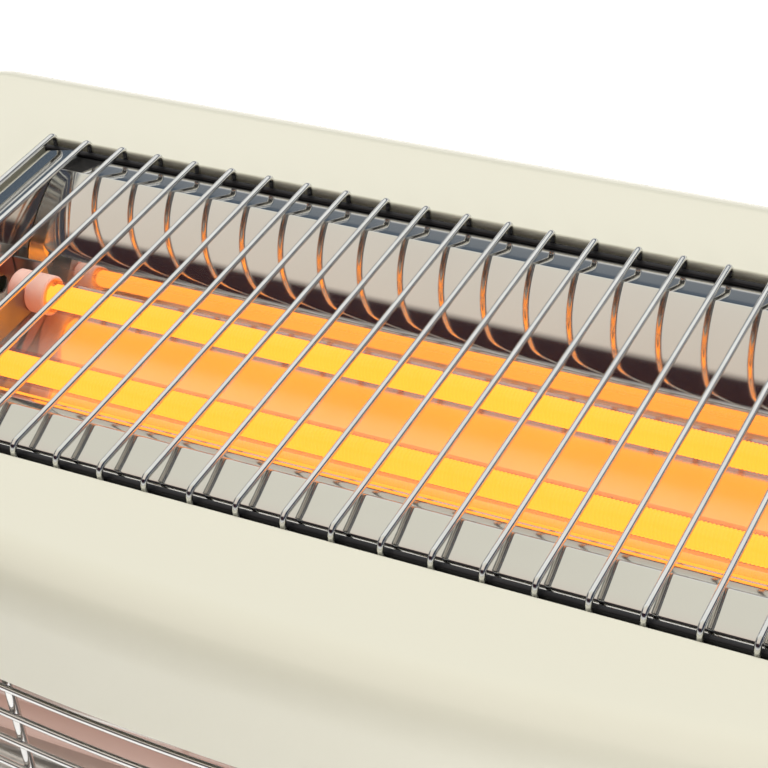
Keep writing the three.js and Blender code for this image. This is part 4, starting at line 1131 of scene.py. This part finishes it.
# %% Studio bands
HORIZON = (0.75, 0.75, 0.74)
DARK_GAP = (0.02, 0.006, 0.012)
DARK_SIDE = (0.05, 0.06, 0.085)
BANDS = [
    (0, HORIZON), (8, HORIZON), (13, (0.06, 0.09, 0.13)), (22, (0.08, 0.11, 0.15)),
    (30, (1, 1, 0.97)), (55, (0.9, 0.9, 0.87)), (62, (0.82, 0.82, 0.72)), (85, (0.82, 0.76, 0.68)),
    (127, (0.80, 0.71, 0.62)), (132, DARK_GAP), (160, DARK_GAP), (168, (0.6, 0.6, 0.58)), (180, HORIZON),
]
world = bpy.data.worlds.new("studio")
world.use_nodes = True
bpy.context.scene.world = world
tree = world.node_tree
backdrop = tree.nodes["Background"]
toward = tree.nodes.new("ShaderNodeTexCoord").outputs["Generated"]
split = add_node(tree, "ShaderNodeSeparateXYZ", Vector=toward)
climb = add_node(tree, "ShaderNodeMath", {"operation": "ARCTAN2"},
                 _0=split.outputs["Z"], _1=split.outputs["Y"])
climb = add_node(tree, "ShaderNodeMath", {"operation": "DIVIDE"}, _0=climb.outputs[0], _1=math.pi)
bands = tree.nodes.new("ShaderNodeValToRGB")
bands.color_ramp.elements.remove(bands.color_ramp.elements[1])
bands.color_ramp.elements[0].color = (*BANDS[0][1], 1)
for degrees, shade in BANDS[1:]:
    bands.color_ramp.elements.new(degrees / 180).color = (*shade, 1)
tree.links.new(climb.outputs[0], bands.inputs["Fac"])
print("bands", len(bands.color_ramp.elements))


# %% Studio sides
def fade(value, start, end, falling=False, kind="SMOOTHSTEP"):
    """A mask that rises from 0 to 1, or falls from 1 to 0, between two values."""
    return add_node(tree, "ShaderNodeMapRange", {"interpolation_type": kind}, Value=value,
                    From_Min=start, From_Max=end, To_Min=float(falling),
                    To_Max=float(not falling)).outputs[0]


left = fade(split.outputs["X"], -0.90, -0.78)
right = fade(split.outputs["X"], 0.42, 0.60, falling=True)
near_floor = fade(split.outputs["Z"], 0.10, 0.16, falling=True, kind="LINEAR")
window = add_node(tree, "ShaderNodeMath", {"operation": "MULTIPLY"}, _0=left, _1=right)
window = add_node(tree, "ShaderNodeMath", {"operation": "MAXIMUM"}, _0=window.outputs[0], _1=near_floor)
room = add_node(tree, "ShaderNodeMix", {"data_type": "RGBA"}, _0=window.outputs[0],
                _6=(*DARK_SIDE, 1), _7=bands.outputs["Color"])
tree.links.new(room.outputs[2], backdrop.inputs["Color"])
backdrop.inputs["Strength"].default_value = 1.0
print("studio", len(tree.nodes), "nodes")


# %% [markdown]
# The lamps. A large soft lamp overhead lights the deck, and a small one at the right front shapes
# the bend and the bow. Their strength is set so that the enamel comes out about as light as its
# colour is written. Neither shows in the metal, where a round white disc would be in the way.

# %% Lamps
def soft_lamp(name, place, target, size, power):
    """A round lamp that faces its target and stays out of reflections."""
    data = bpy.data.lights.new(name, "AREA")
    data.shape, data.size, data.energy = "DISK", size, power
    lamp = bpy.data.objects.new(name, data)
    lamp.location = place
    lamp.rotation_euler = (Vector(target) - Vector(place)).to_track_quat("-Z", "Y").to_euler()
    lamp.visible_glossy = False
    bpy.context.scene.collection.objects.link(lamp)
    return lamp


soft_lamp("overhead", (-0.2, 0.6, 1.7), (0, 0, 0.1), size=1.0, power=15)
soft_lamp("side", (0.85, -0.75, 0.30), (0.15, 0, 0.1), size=0.4, power=6.0)
